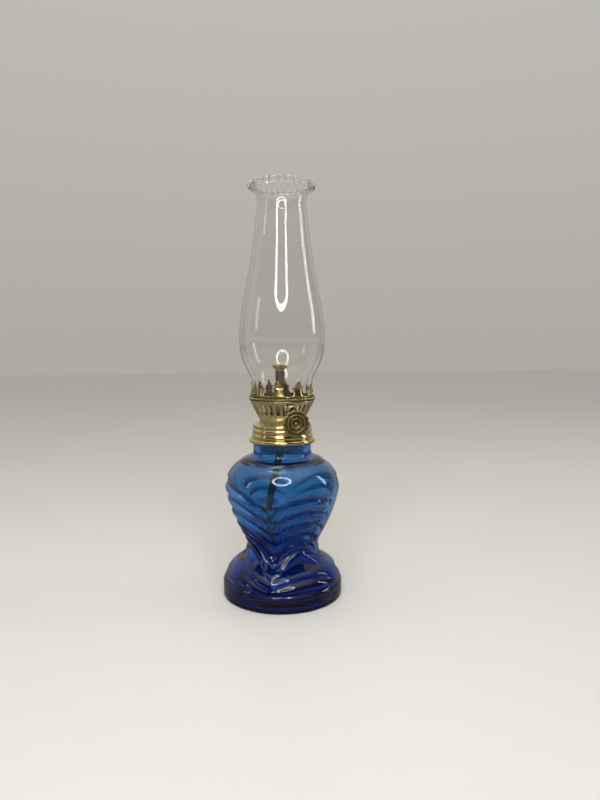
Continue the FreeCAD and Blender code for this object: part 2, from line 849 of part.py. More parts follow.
def make_spur_wheel(label, forward):
    """Small toothed brass wheel that bites the wick through a window in its tube."""
    body = new_body(label)
    thickness = size("spur_thickness")
    root_radius = spur_tip_radius - size("spur_tooth_depth")
    disc = new_sketch(body, "disc", "XY_Plane", thickness * -0.5)
    draw_circle(disc, 0.0, 0.0, root_radius, "rim")
    draw_circle(disc, 0.0, 0.0, size("shaft_radius") + size("press_clearance"), "bore")
    pad(body, disc, thickness)
    tooth = new_sketch(body, "tooth", "XY_Plane", thickness * -0.5)
    half_root = root_radius * math.pi / size("spur_teeth") * 0.8
    half_tip = size("spur_tip_half")
    tooth_foot = root_radius - half_tip * 2
    tooth_tip = spur_tip_radius - size("press_clearance")
    draw_outline(tooth, [
        (tooth_foot, -half_root),
        (tooth_tip, -half_tip),
        (tooth_tip, half_tip),
        (tooth_foot, half_root),
    ])
    repeat_round(body, pad(body, tooth, thickness), size("spur_teeth"))
    place_on_shaft(body, forward)


def make_wick_knob():
    """Cast brass knob: scalloped edge, two raised rings, a recess for the shaft's end, a hub behind."""
    body = new_body("wick_knob")
    radius = size("knob_radius")
    face = size("knob_thickness")
    hub = size("knob_hub_radius")
    bore = size("shaft_radius") + size("press_clearance")
    outer_ring = radius * 0.62
    inner_ring = radius * 0.34
    ring_half = radius * 0.055
    recess = radius * 0.22
    dish = face - size("knob_dish")
    edge = size("knob_edge_round")

    def ring(middle):
        start = (middle + ring_half, dish)
        end = (middle - ring_half, dish)
        return [(*start, ring_half * 1.05, "left"), end]

    corners = [
        (bore, -size("knob_hub_length")),
        (hub, -size("knob_hub_length")),
        (hub, 0.0),
        (radius - edge, 0.0),
        (radius, edge),
        (radius, face - edge),
        (radius - edge, face),
        *ring(outer_ring),
        *ring(inner_ring),
        (recess, dish),
        (recess, face * 0.5),
        (bore, face * 0.5),
    ]
    revolve(body, corners)
    notch = new_sketch(body, "notch", "XY_Plane", -face)
    notch_radius = size("knob_notch_radius")
    draw_circle(notch, radius + notch_radius * 0.35, 0.0, notch_radius)
    cut = pocket(body, notch, face * 3, forward=True)
    repeat_round(body, cut, size("knob_lobes"))
    place_on_shaft(body, knob_face_distance - size("knob_thickness"))


# ---------------------------------------------------------------- wick
def make_wick():
    """Flat woven cotton wick, from the tube's lower end to its burnt top."""
    body = new_body("wick")
    sketch = new_sketch(body, "section", "XY_Plane", tube_bottom)
    half_x = size("wick_thickness") / 2
    half_y = size("wick_width") / 2
    draw_outline(sketch, box_corners(wick_offset - half_x, wick_offset + half_x, -half_y, half_y))
    pad(body, sketch, wick_top - tube_bottom)


# The wick's loose tail, down in the font: (across, height) of its route, from the tube's lower end.
TAIL_ROUTE = [
    (-1.4, 84.5),
    (-1.4, 72.5),
    (-5.2, 60.0),
    (-8.1, 47.0),
    (-7.4, 33.5),
    (-5.2, 21.5),
]


def smoothed_route(points, share=0.45):
    """Straight runs joined by tangent arcs as large as the runs allow; prints each radius."""
    corners = [FreeCAD.Vector(across, 0.0, height) for across, height in points]
    edges = []
    last = corners[0]
    for before, here, after in zip(corners, corners[1:], corners[2:]):
        back = before - here
        ahead = after - here
        trim = share * min(back.Length, ahead.Length)
        half_turn = (math.pi - back.getAngle(ahead)) / 2
        radius = trim / math.tan(half_turn)
        start = here + back.normalize() * trim
        end = here + ahead.normalize() * trim
        inward = (back + ahead).normalize()
        middle = here + inward * (radius / math.cos(half_turn) - radius)
        edges.append(Part.LineSegment(last, start).toShape())
        edges.append(Part.Arc(start, middle, end).toShape())
        last = end
        print(f"wick tail bend radius {radius:.1f} mm")
    edges.append(Part.LineSegment(last, corners[-1]).toShape())
    return Part.Wire(edges)


def make_wick_tail():
    """The same cotton strip below the tube, hanging limp in the font."""
    moved = FreeCAD.Vector(wick_offset.number, 0.0, tube_bottom.number)
    moved -= FreeCAD.Vector(TAIL_ROUTE[0][0], 0.0, TAIL_ROUTE[0][1])
    route = [(across + moved.x, height + moved.z) for across, height in TAIL_ROUTE]
    path = smoothed_route(route)
    across, height = route[0]
    half_x = size("wick_thickness").number / 2
    half_y = size("wick_width").number / 2
    section = Part.makePolygon([
        FreeCAD.Vector(across - half_x, -half_y, height),
        FreeCAD.Vector(across + half_x, -half_y, height),
        FreeCAD.Vector(across + half_x, half_y, height),
        FreeCAD.Vector(across - half_x, half_y, height),
        FreeCAD.Vector(across - half_x, -half_y, height),
    ])
    strip = path.makePipeShell([section], True, False)
    tail = doc.addObject("Part::Feature", "wick_tail")
    tail.Label = "wick_tail"
    tail.Shape = strip
    expected = 4 * half_x * half_y * path.Length
    print(f"wick tail length {path.Length:.1f} mm, volume {strip.Volume:.1f} of {expected:.1f} mm3")
    if abs(strip.Volume - expected) > 0.01 * expected:
        raise RuntimeError("the wick tail's volume is not its section times its length")
    nodes.append(tail)


# ---------------------------------------------------------------- chimney
def make_glass_chimney():
    """Blown clear glass chimney: fitter, round bulge, long tapering neck, and a flared mouth whose edge
    carries a ring of glass beads, drawn here as one round bead."""
    wall = size("chimney_wall")

    bead = size("bead_radius")
    circle = size("bead_circle_radius")
    fitter_top_level = chimney_foot + size("fitter_rise")
    bulge_foot_level = fitter_top_level + size("bulge_foot_rise")
    bulge_level = bulge_foot_level + size("bulge_rise")
    bulge_top_level = bulge_level + size("bulge_top_rise")
    throat_start_level = bulge_top_level + size("throat_start_rise")
    throat_level = throat_start_level + size("throat_rise")
    bead_level = throat_level + size("bead_rise")

    def on_bead(degrees):
        turn = math.radians(degrees)
        return (circle + bead * math.cos(turn), bead_level + bead * math.sin(turn))

    fitter = (size("fitter_radius"), chimney_foot)
    fitter_top = (size("fitter_top_radius"), fitter_top_level)
    bulge_foot = (size("bulge_foot_radius"), bulge_foot_level)
    bulge = (size("bulge_radius"), bulge_level)
    bulge_top = (size("bulge_top_radius"), bulge_top_level)
    throat_start = (size("throat_start_radius"), throat_start_level)
    throat = (size("throat_radius"), throat_level)
    mouth = on_bead(250)
    in_mouth = on_bead(200)

    def inside(point, slope=0.0):
        return (point[0] - wall, point[1] + wall * slope)

    in_fitter_top = inside(fitter_top, 0.1)
    in_bulge_foot = inside(bulge_foot, 0.4)
    in_bulge = inside(bulge)
    in_bulge_top = inside(bulge_top)
    in_throat_start = inside(throat_start)
    in_throat = inside(throat, 0.1)
    corners = [
        fitter,
        (*fitter_top, round_radius(fitter_top, bulge_foot, 3.6), "right"),
        (*bulge_foot, round_radius(bulge_foot, bulge, 2.1), "left"),
        (*bulge, round_radius(bulge, bulge_top, 4.7), "left"),
        (*bulge_top, round_radius(bulge_top, throat_start, 9.5), "right"),
        throat_start,
        (*throat, round_radius(throat, mouth, 1.25), "right"),
        (*mouth, bead, "left"),
        (*on_bead(360), bead, "left"),
        (*on_bead(90), bead, "left"),
        (*in_mouth, round_radius(in_mouth, in_throat, 1.25), "left"),
        in_throat,
        (*in_throat_start, round_radius(in_throat_start, in_bulge_top, 9.5), "left"),
        (*in_bulge_top, round_radius(in_bulge_top, in_bulge, 4.7), "right"),
        (*in_bulge, round_radius(in_bulge, in_bulge_foot, 2.1), "right"),
        (*in_bulge_foot, round_radius(in_bulge_foot, in_fitter_top, 3.6), "left"),
        in_fitter_top,
        inside(fitter),
    ]
    revolve(new_body("glass_chimney"), corners)


# ---------------------------------------------------------------- build, check, write
make_oil_font()
make_neck_collar()
make_collar_cement()
make_burner_base()
make_burner_floor()
make_air_basket()
make_draught_plate()
make_pearl_band()
make_prong_crown()
make_wick_tube()
make_sprocket_housing()
make_vent_tube()
make_winder_shaft()
make_spur_wheel("spur_wheel_front", size("spur_spacing") / 2)
make_spur_wheel("spur_wheel_rear", size("spur_spacing") / -2)
make_wick_knob()
make_wick()
make_wick_tail()
make_glass_chimney()
doc.recompute()

for item in doc.Objects:
    if "Invalid" in item.State or "Error" in item.State:
        raise RuntimeError(f"{item.Name} failed: {item.State}")
for node in nodes:
    if node.Shape.isNull() or not node.Shape.isValid() or node.Shape.Volume <= 0:
        raise RuntimeError(f"{node.Label} has no valid shape")

os.makedirs("parts", exist_ok=True)
for node in nodes:
    node.Shape.exportStep(f"parts/{node.Label}.step")
    solids = len(node.Shape.Solids)
    print(f"{node.Label}: {solids} solid, {node.Shape.Volume:.1f} mm3")
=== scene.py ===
import math
import random

import bmesh
import bpy
from mathutils import Matrix, Vector


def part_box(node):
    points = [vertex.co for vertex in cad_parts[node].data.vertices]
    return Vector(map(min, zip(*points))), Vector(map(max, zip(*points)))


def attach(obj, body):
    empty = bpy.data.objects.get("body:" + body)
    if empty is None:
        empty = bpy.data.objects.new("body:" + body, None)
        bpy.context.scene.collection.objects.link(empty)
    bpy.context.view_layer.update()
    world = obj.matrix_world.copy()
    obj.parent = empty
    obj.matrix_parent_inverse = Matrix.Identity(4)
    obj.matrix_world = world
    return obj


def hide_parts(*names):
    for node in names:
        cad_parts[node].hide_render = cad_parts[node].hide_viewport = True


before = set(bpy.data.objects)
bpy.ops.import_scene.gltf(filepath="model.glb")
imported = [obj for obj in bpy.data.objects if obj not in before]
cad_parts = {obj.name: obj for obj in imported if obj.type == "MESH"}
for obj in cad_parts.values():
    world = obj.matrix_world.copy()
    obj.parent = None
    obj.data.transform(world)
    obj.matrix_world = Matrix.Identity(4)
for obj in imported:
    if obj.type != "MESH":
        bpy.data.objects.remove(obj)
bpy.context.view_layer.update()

# ---------------------------------------------------------------- camera
# A close view with a wide lens, a little above the burner and looking slightly down.
# The lamp stands just left of the middle of the view.
MM = 0.001
view_turn = math.radians(-15.5)
view_dip = math.radians(4.86)
view_distance = 325 * MM
view_side = 9.7 * MM
view_height = 133.7 * MM

camera_lens = bpy.data.cameras.new("camera")
camera_lens.sensor_width = 36.0
camera_lens.lens = 27.05
camera_lens.clip_start = 0.01
camera = bpy.data.objects.new("camera", camera_lens)
camera.location = (
    math.sin(view_turn) * view_distance + math.cos(view_turn) * view_side,
    -math.cos(view_turn) * view_distance + math.sin(view_turn) * view_side,
    view_height,
)
camera.rotation_euler = (math.pi / 2 - view_dip, 0.0, view_turn)
bpy.context.scene.collection.objects.link(camera)
bpy.context.scene.camera = camera


# ---------------------------------------------------------------- floor and light
# A pale floor, which shows painted shade where glass and brass reflect it, a pale room, one soft box
# overhead, two at the sides, and a ring light that stands above the camera and shows as ovals in the glass.
def node(tree, kind, inputs=(), **settings):
    """Adds a node. Inputs go from socket name or number to a value or to another node's output."""
    made = tree.nodes.new(kind)
    for name, value in settings.items():
        setattr(made, name, value)
    for socket, value in dict(inputs).items():
        target = made.inputs[socket]
        if isinstance(value, bpy.types.NodeSocket):
            tree.links.new(value, target)
        else:
            target.default_value = value
    return made


def new_material(name):
    """An empty material: its tree and its Principled BSDF, already wired to the output."""
    material = bpy.data.materials.new(name)
    material.use_nodes = True
    tree = material.node_tree
    tree.nodes.clear()
    shader = tree.nodes.new("ShaderNodeBsdfPrincipled")
    output = tree.nodes.new("ShaderNodeOutputMaterial")
    tree.links.new(shader.outputs["BSDF"], output.inputs["Surface"])
    return material, tree, shader


def maths(tree, operation, *values, clamp=False):
    """A Math node's output; each value is a number or another node's output."""
    made = node(tree, "ShaderNodeMath", enumerate(values), operation=operation, use_clamp=clamp)
    return made.outputs[0]


def ramp(tree, value, low, high, to_low=0.0, to_high=1.0):
    """Turns a value between two levels into a smooth step between two others."""
    made = node(tree, "ShaderNodeMapRange", {
        "Value": value, "From Min": low, "From Max": high, "To Min": to_low, "To Max": to_high,
    }, interpolation_type="SMOOTHSTEP")
    return made.outputs["Result"]


def blend(tree, share, one, other, **settings):
    """Mixes two colours; the share is how much of the other one shows."""
    made = node(tree, "ShaderNodeMix", {"Factor": share, "A": one, "B": other},
                data_type="RGBA", **settings)
    return made.outputs["Result"]


def colour_ramp(tree, value, stops):
    """A colour for a value, from (position, colour) stops, lowest first."""
    made = node(tree, "ShaderNodeValToRGB", {"Fac": value})
    elements = made.color_ramp.elements
    for element, stop in zip(elements, (stops[0], stops[-1])):
        element.position, element.color = stop
    for position, colour in stops[1:-1]:
        elements.new(position).color = colour
    return made.outputs["Color"]


def new_piece(name, vertices, faces, material=None):
    mesh = bpy.data.meshes.new(name)
    mesh.from_pydata(vertices, [], faces)
    mesh.validate()
    if material is not None:
        mesh.materials.append(material)
    mesh.shade_smooth()
    piece = bpy.data.objects.new(name, mesh)
    bpy.context.scene.collection.objects.link(piece)
    return piece


floor_material, tree, shader = new_material("pale_floor")
place = node(tree, "ShaderNodeTexCoord").outputs["Object"]
cloud = node(tree, "ShaderNodeTexNoise", {"Vector": place, "Scale": 3.0, "Detail": 5.0})
tone = colour_ramp(tree, cloud.outputs["Fac"], (
    (0.0, (0.63, 0.61, 0.575, 1)), (1.0, (0.70, 0.685, 0.655, 1))))
# Painted shade: in reflections on the glass and brass the floor turns dark brown-grey, in place of the room's
# shade on the camera's side; the camera and rays through glass still see it pale.
ray = node(tree, "ShaderNodeLightPath").outputs
mirrored = maths(tree, "SUBTRACT", ray["Is Glossy Ray"], ray["Is Transmission Ray"], clamp=True)
floor_painted_reflection_shade = blend(tree, mirrored, tone, (0.24, 0.22, 0.19, 1))
tree.links.new(floor_painted_reflection_shade, shader.inputs["Base Color"])
shader.inputs["Roughness"].default_value = 0.5
floor_half = 3.0
floor = new_piece(
    "floor",
    [(-floor_half, -floor_half, 0), (floor_half, -floor_half, 0),
     (floor_half, floor_half, 0), (-floor_half, floor_half, 0)],
    [(0, 1, 2, 3)],
    floor_material,
)

world = bpy.data.worlds.new("studio")
bpy.context.scene.world = world
world.use_nodes = True
tree = world.node_tree
tree.nodes.clear()
sky = node(tree, "ShaderNodeTexCoord").outputs["Generated"]
aim = node(tree, "ShaderNodeSeparateXYZ", {"Vector": sky})
wall = colour_ramp(tree, aim.outputs["Z"], (
    (0.0, (0.42, 0.405, 0.365, 1)), (0.55, (0.53, 0.515, 0.475, 1))))
room = colour_ramp(tree, aim.outputs["Z"], (
    (0.0, (0.50, 0.475, 0.43, 1)),
    (0.06, (0.15, 0.135, 0.11, 1)),
    (0.14, (0.030, 0.026, 0.022, 1)),
    (0.48, (0.045, 0.040, 0.035, 1)),
    (0.66, (0.20, 0.19, 0.18, 1)),
    (0.82, (0.95, 0.93, 0.89, 1)),
    (0.95, (1.15, 1.13, 1.08, 1)),
))
around = blend(tree, ramp(tree, aim.outputs["Y"], -0.05, 0.60), room, wall)
seen = blend(tree, node(tree, "ShaderNodeLightPath").outputs["Is Camera Ray"], around, wall)
glow = node(tree, "ShaderNodeBackground", {"Color": seen, "Strength": 1.0})
node(tree, "ShaderNodeOutputWorld", {"Surface": glow.outputs["Background"]})
bpy.context.scene.view_settings.view_transform = "Standard"


def soft_box(name, place, size, watts, colour):
    """A square studio light that faces the lamp's middle."""
    light = bpy.data.lights.new(name, "AREA")
    light.shape = "RECTANGLE"
    light.size, light.size_y = size
    light.energy = watts
    light.color = colour
    box = bpy.data.objects.new(name, light)
    box.location = place
    aim = Vector((0, 0, 0.1)) - Vector(place)
    box.rotation_euler = aim.to_track_quat("-Z", "Y").to_euler()
    bpy.context.scene.collection.objects.link(box)


soft_box("overhead_box", (-0.05, 0.1, 1.15), (0.45, 0.45), 2.0, (1.0, 0.985, 0.96))
soft_box("left_box", (-0.95, -0.05, 0.40), (0.10, 0.30), 0.3, (0.96, 0.98, 1.0))
soft_box("right_box", (0.90, -0.12, 0.45), (0.10, 0.50), 1.2, (0.96, 0.98, 1.0))

glow_material = bpy.data.materials.new("ring_glow")
glow_material.use_nodes = True
tree = glow_material.node_tree
tree.nodes.clear()
lamp_glow = node(tree, "ShaderNodeEmission", {"Color": (1, 0.985, 0.96, 1), "Strength": 12.0})
node(tree, "ShaderNodeOutputMaterial", {"Surface": lamp_glow.outputs["Emission"]})
ring_radius = 112 * MM
ring_tube = 17 * MM
ring_away, ring_height = 285 * MM, 370 * MM
ring_aim = Vector((0, 0, 110 * MM))
ring_place = Vector((math.sin(view_turn) * ring_away, -math.cos(view_turn) * ring_away, ring_height))
bpy.ops.mesh.primitive_torus_add(
    major_radius=ring_radius, minor_radius=ring_tube, major_segments=96, minor_segments=16
)
ring_light = bpy.context.object
ring_light.name = "ring_light"
ring_light.location = ring_place
ring_light.rotation_euler = (ring_aim - ring_place).to_track_quat("-Z", "Y").to_euler()
ring_light.data.materials.append(glow_material)
ring_light.visible_camera = False
ring_light.visible_shadow = False


# ---------------------------------------------------------------- wick tail
# The loose end of the flat cotton wick, below its tube, hanging limp in the font. It is woven
# cotton tape, lightly soaked, and stays its natural colour where no flame reaches it.
def press(tree, shader, height, strength, distance):
    """Gives a surface the small relief of a pattern, its distance in millimetres."""
    bump = node(tree, "ShaderNodeBump", {
        "Height": height, "Strength": strength, "Distance": distance * MM,
    })
    tree.links.new(bump.outputs["Normal"], shader.inputs["Normal"])


def range_to(tree, socket, value, low, high, start=0.0, end=1.0):
    """Feeds a socket with a level from low to high, as a value goes from start to end."""
    made = node(tree, "ShaderNodeMapRange", {
        "Value": value, "From Min": start, "From Max": end, "To Min": low, "To Max": high,
    })
    tree.links.new(made.outputs["Result"], socket)


def cotton_material(name, clean, soaked, char_start=None, char_end=None, char_low=None):
    """Woven cotton tape: fine twill ribs from the object's own coordinates, and char above a height."""
    material, tree, shader = new_material(name)
    place = node(tree, "ShaderNodeTexCoord").outputs["Object"]
    parts = node(tree, "ShaderNodeSeparateXYZ", {"Vector": place})
    strands = node(tree, "ShaderNodeTexWave", {
        "Vector": place, "Scale": 420.0, "Distortion": 0.4, "Detail": 1.0,
    }, bands_direction="DIAGONAL")
    warp = node(tree, "ShaderNodeTexWave", {
        "Vector": place, "Scale": 330.0, "Distortion": 0.3, "Detail": 1.0,
    }, bands_direction="Y")
    weave = maths(tree, "MULTIPLY", strands.outputs["Fac"], warp.outputs["Fac"])
    fuzz = node(tree, "ShaderNodeTexNoise", {"Vector": place, "Scale": 900.0, "Detail": 3.0})
    stain = node(tree, "ShaderNodeTexNoise", {"Vector": place, "Scale": 160.0, "Detail": 3.0})
    cloth = blend(tree, stain.outputs["Fac"], clean, soaked)
    gaps = node(tree, "ShaderNodeMapRange", {"Value": weave, "To Min": 0.45, "To Max": 1.0})
    colour = blend(tree, 1.0, cloth, gaps.outputs["Result"], blend_type="MULTIPLY")
    if char_start is not None:
        lowered = maths(tree, "MULTIPLY", stain.outputs["Fac"], 3 * MM)
        level = maths(tree, "ADD", parts.outputs["Z"], lowered)
        rising = ramp(tree, level, char_low, char_start)
        ending = ramp(tree, level, char_end, char_end + 0.9 * MM, 1.0, 0.0)
        coal = blend(tree, fuzz.outputs["Fac"], (0.034, 0.017, 0.010, 1), (0.125, 0.068, 0.042, 1))
        colour = blend(tree, maths(tree, "MULTIPLY", rising, ending), colour, coal)
    tree.links.new(colour, shader.inputs["Base Color"])
    range_to(tree, shader.inputs["Roughness"], fuzz.outputs["Fac"], 0.78, 0.98)
    press(tree, shader, maths(tree, "ADD", weave, fuzz.outputs["Fac"]), 0.7, 0.12)
    return material


wick_low, wick_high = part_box("wick")
wick_middle = (wick_low.x + wick_high.x) / 2
wick_width = wick_high.y - wick_low.y
wick_thickness = wick_high.x - wick_low.x
tail_points = [
    (-1.4, 84.5), (-1.4, 72.5), (-5.2, 60.0), (-8.1, 47.0), (-7.4, 33.5), (-5.2, 21.5),
]


def route_points(name, points, steps):
    """A smooth line through the route: the points of its NURBS spline, as a mesh gives them."""
    curve = bpy.data.curves.new(name, "CURVE")
    curve.dimensions = "3D"
    spline = curve.splines.new("NURBS")
    spline.points.add(len(points) - 1)
    for point, (across, height) in zip(spline.points, points):
        point.co = (across * MM, 0.0, height * MM, 1.0)
    spline.order_u = 3
    spline.use_endpoint_u = True
    curve.resolution_u = steps
    carrier = bpy.data.objects.new(name, curve)
    bpy.context.scene.collection.objects.link(carrier)
    graph = bpy.context.evaluated_depsgraph_get()
    line = bpy.data.meshes.new_from_object(carrier.evaluated_get(graph), depsgraph=graph)
    found = [Vector(vertex.co) for vertex in line.vertices]
    bpy.data.objects.remove(carrier)
    bpy.data.meshes.remove(line)
    return found


def tape_section(width, thickness):
    """The tape's section: flat faces, soft rounded edges and a few low cords along it."""
    half = width / 2
    edge = thickness / 2
    across_steps = 22
    front = []
    for step in range(across_steps + 1):
        share = step / across_steps
        offset = -half + edge * 0.6 + share * (width - edge * 1.2)
        rib = 0.10 * MM * abs(math.sin(share * math.pi * 7))
        front.append((edge - 0.10 * MM + rib, offset))
    turn = [(edge * 0.72, half - edge * 0.18), (0.0, half), (-edge * 0.72, half - edge * 0.18)]
    back = [(-x, y) for x, y in reversed(front)]
    return front + turn + back + [(-x, -y) for x, y in turn]


def skin(rows, columns, closed=True, first=0):
    """The faces between rows of points. A closed row joins its last point to its first."""
    faces = []
    for row in range(rows - 1):
        low, high = first + row * columns, first + (row + 1) * columns
        for step in range(columns if closed else columns - 1):
            after = (step + 1) % columns
            faces.append((low + step, low + after, high + after, high + step))
    return faces


def tape(name, line, width, thickness, material):
    """A flat tape along a line in the XZ plane; its width lies along Y."""
    section = tape_section(width, thickness)
    vertices = []
    for index, point in enumerate(line):
        ahead = line[min(index + 1, len(line) - 1)] - line[max(index - 1, 0)]
        along = ahead.normalized()
        side = Vector((-along.z, 0.0, along.x))
        vertices += [point + side * x + Vector((0, y, 0)) for x, y in section]
    size = len(section)
    faces = skin(len(line), size)
    faces.append(tuple(reversed(range(size))))
    faces.append(tuple(range((len(line) - 1) * size, len(line) * size)))
    piece = new_piece(name, vertices, faces, material)
    face_outwards(piece)
    return piece


def face_outwards(piece):
    """Merges doubles and turns every face of a closed mesh outwards."""
    shape = bmesh.new()
    shape.from_mesh(piece.data)
    bmesh.ops.remove_doubles(shape, verts=shape.verts, dist=1e-7)
    bmesh.ops.recalc_face_normals(shape, faces=shape.faces)
    shape.to_mesh(piece.data)
    shape.free()


tail_line = route_points("tail_route", tail_points, 10)
tail_cotton = cotton_material("wick_cotton_clean", (0.36, 0.29, 0.20, 1), (0.20, 0.155, 0.10, 1))
wick_tail = tape("wick_tail_tape", tail_line, wick_width, wick_thickness, tail_cotton)
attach(wick_tail, "wick")
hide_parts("wick_tail")


# ---------------------------------------------------------------- glass font
# One blown vessel of cobalt glass: foot, waist, belly and neck, blown into a mould of two leaves,
# front and back. In each leaf the ribs climb from a spine to both sides. The shoulder is smooth.
def arc(start, end, roundness, side, steps):
    """Points along an arc from start up to end; its radius is a share of the distance between them."""
    run = Vector(end) - Vector(start)
    radius = run.length * roundness
    normal = Vector((-run.y, run.x)).normalized()
    if side == "right":
        normal = -normal
    centre = Vector(start) + run / 2 + normal * math.sqrt(max(radius ** 2 - run.length ** 2 / 4, 0))
    first = math.atan2(start[1] - centre.y, start[0] - centre.x)
    last = math.atan2(end[1] - centre.y, end[0] - centre.x)
    sweep = (last - first) % math.tau if side == "left" else -((first - last) % math.tau)
    return [
        (centre.x + radius * math.cos(first + sweep * step / steps),
         centre.y + radius * math.sin(first + sweep * step / steps))
        for step in range(steps)
    ]


def run_up(start, end, steps):
    """Points along a straight wall from start up to end."""
    return [(start[0] + (end[0] - start[0]) * step / steps,
             start[1] + (end[1] - start[1]) * step / steps) for step in range(steps)]


def lathe(name, outline, columns, material, closed=True, swell=None):
    """Turns an outline of (radius, height) in millimetres round Z. Points on the axis become poles,
    and swell(radius, height, angle) may give a new radius and height."""
    rings = []
    vertices = []
    for radius, height in outline:
        if radius < 1e-6:
            rings.append([len(vertices)] * columns)
            vertices.append((0.0, 0.0, height * MM))
            continue
        rings.append([len(vertices) + column for column in range(columns)])
        for column in range(columns):
            angle = math.tau * column / columns
            r, z = swell(radius, height, angle) if swell else (radius, height)
            vertices.append((r * MM * math.cos(angle), r * MM * math.sin(angle), z * MM))
    faces = []
    pairs = list(zip(rings, rings[1:]))
    if closed and outline[0][0] > 1e-6:
        pairs.append((rings[-1], rings[0]))
    for low, high in pairs:
        for column in range(columns):
            after = (column + 1) % columns
            corners = [low[column], low[after], high[after], high[column]]
            face = list(dict.fromkeys(corners))
            if len(face) > 2:
                faces.append(face)
    piece = new_piece(name, vertices, faces, material)
    face_outwards(piece)
    return piece


def new_tree(name, inputs):
    """A geometry tree with a Geometry input and output, and named inputs for its sizes."""
    tree = bpy.data.node_groups.new(name, "GeometryNodeTree")
    tree.interface.new_socket("Geometry", in_out="INPUT", socket_type="NodeSocketGeometry")
    for label, kind, value in inputs:
        socket = tree.interface.new_socket(label, in_out="INPUT", socket_type=kind)
        if value is not None:
            socket.default_value = value
    tree.interface.new_socket("Geometry", in_out="OUTPUT", socket_type="NodeSocketGeometry")
    return tree, tree.nodes.new("NodeGroupInput"), tree.nodes.new("NodeGroupOutput")


def baked(piece, modifier):
    """Keeps what a modifier makes as the piece's plain mesh, and takes the modifier off."""
    graph = bpy.context.evaluated_depsgraph_get()
    made = bpy.data.meshes.new_from_object(piece.evaluated_get(graph), depsgraph=graph)
    piece.modifiers.remove(modifier)
    before = piece.data
    piece.data = made
    bpy.data.meshes.remove(before)
    made.shade_smooth()


def settle(piece, tree, values):
    """Runs a geometry tree on a piece with these values for its named inputs."""
    modifier = piece.modifiers.new(tree.name, "NODES")
    modifier.node_group = tree
    for item in tree.interface.items_tree:
        if item.in_out == "INPUT" and item.name in values:
            modifier[item.identifier] = values[item.name]
    baked(piece, modifier)


foot_band = (32.5, 8.4)
foot_dome = (25.2, 18.8)
waist = (19.9, 26.5)
flank = (21.4, 33.0)
belly = (31.05, 58.0)
shoulder_ring = (23.3, 73.0)
shoulder_foot, neck_foot = (18.3, 75.6), 78.6
neck_radius, neck_high = 15.7, 82.8
lip_radius, lip_top, mouth_radius = 14.2, 87.0, 12.6
font_outside = (
    run_up((0.0, 1.0), (23.7, 1.0), 8)
    + run_up((23.7, 1.0), (24.7, 0.0), 3)
    + run_up((24.7, 0.0), (31.5, 0.0), 6)
    + arc((31.5, 0.0), (32.5, 1.0), 0.72, "left", 6)
    + run_up((32.5, 1.0), (32.5, 7.4), 8)
    + arc((32.5, 7.4), (31.9, 8.9), 0.8, "left", 5)
    + arc((31.9, 8.9), foot_dome, 1.2, "left", 26)
    + arc(foot_dome, waist, 0.95, "right", 22)
    + arc(waist, flank, 1.6, "right", 16)
    + arc(flank, belly, 3.2, "left", 52)
    + arc(belly, shoulder_ring, 0.92, "left", 28)
    + arc(shoulder_ring, shoulder_foot, 1.4, "left", 8)
    + arc(shoulder_foot, (neck_radius, neck_foot), 0.80, "right", 12)
    + run_up((neck_radius, neck_foot), (neck_radius, neck_high), 6)
    + run_up((neck_radius, neck_high), (lip_radius, neck_high), 2)
    + run_up((lip_radius, neck_high), (lip_radius, lip_top - 0.5), 4)
    + arc((lip_radius, lip_top - 0.5), (lip_radius - 0.6, lip_top), 0.75, "left", 4)
)
inner_shoulder, inner_belly, inner_flank = (19.16, 72.6), (28.45, 58.0), (18.8, 33.52)
inner_waist, inner_dome, inner_foot = (17.3, 26.5), (23.25, 16.85), (29.9, 7.62)
font_inside = (
    run_up((lip_radius - 0.6, lip_top), (mouth_radius, lip_top), 2)
    + run_up((mouth_radius, lip_top), (mouth_radius, 76.0), 6)
    + arc((mouth_radius, 76.0), inner_shoulder, 0.9, "left", 8)
    + arc(inner_shoulder, inner_belly, 0.78, "right", 22)
    + arc(inner_belly, inner_flank, 3.2, "right", 30)
    + arc(inner_flank, inner_waist, 1.6, "left", 10)
    + arc(inner_waist, inner_dome, 0.95, "left", 12)
    + arc(inner_dome, inner_foot, 1.2, "right", 16)
    + arc(inner_foot, (26.5, 4.0), 0.72, "right", 8)
    + run_up((26.5, 4.0), (0.0, 4.0), 8)
    + [(0.0, 4.0)]
)

blue_glass, tree, shader = new_material("blue_glass_blown")
place = node(tree, "ShaderNodeTexCoord").outputs["Object"]
level = node(tree, "ShaderNodeSeparateXYZ", {"Vector": place}).outputs["Z"]
streak = node(tree, "ShaderNodeTexNoise", {"Vector": place, "Scale": 46.0, "Detail": 2.0}).outputs["Fac"]
drift = maths(tree, "MULTIPLY_ADD", streak, 0.010, level)
depth = node(tree, "ShaderNodeMapRange", {
    "Value": drift, "From Min": 0.0, "From Max": 0.095,
}).outputs["Result"]
tint = colour_ramp(tree, depth, (
    (0.0, (0.08, 0.32, 0.95, 1)),
    (0.10, (0.06, 0.24, 0.64, 1)),
    (0.30, (0.07, 0.26, 0.60, 1)),
    (0.46, (0.11, 0.36, 0.64, 1)),
    (0.62, (0.30, 0.60, 0.78, 1)),
    (1.0, (0.42, 0.70, 0.84, 1)),
))
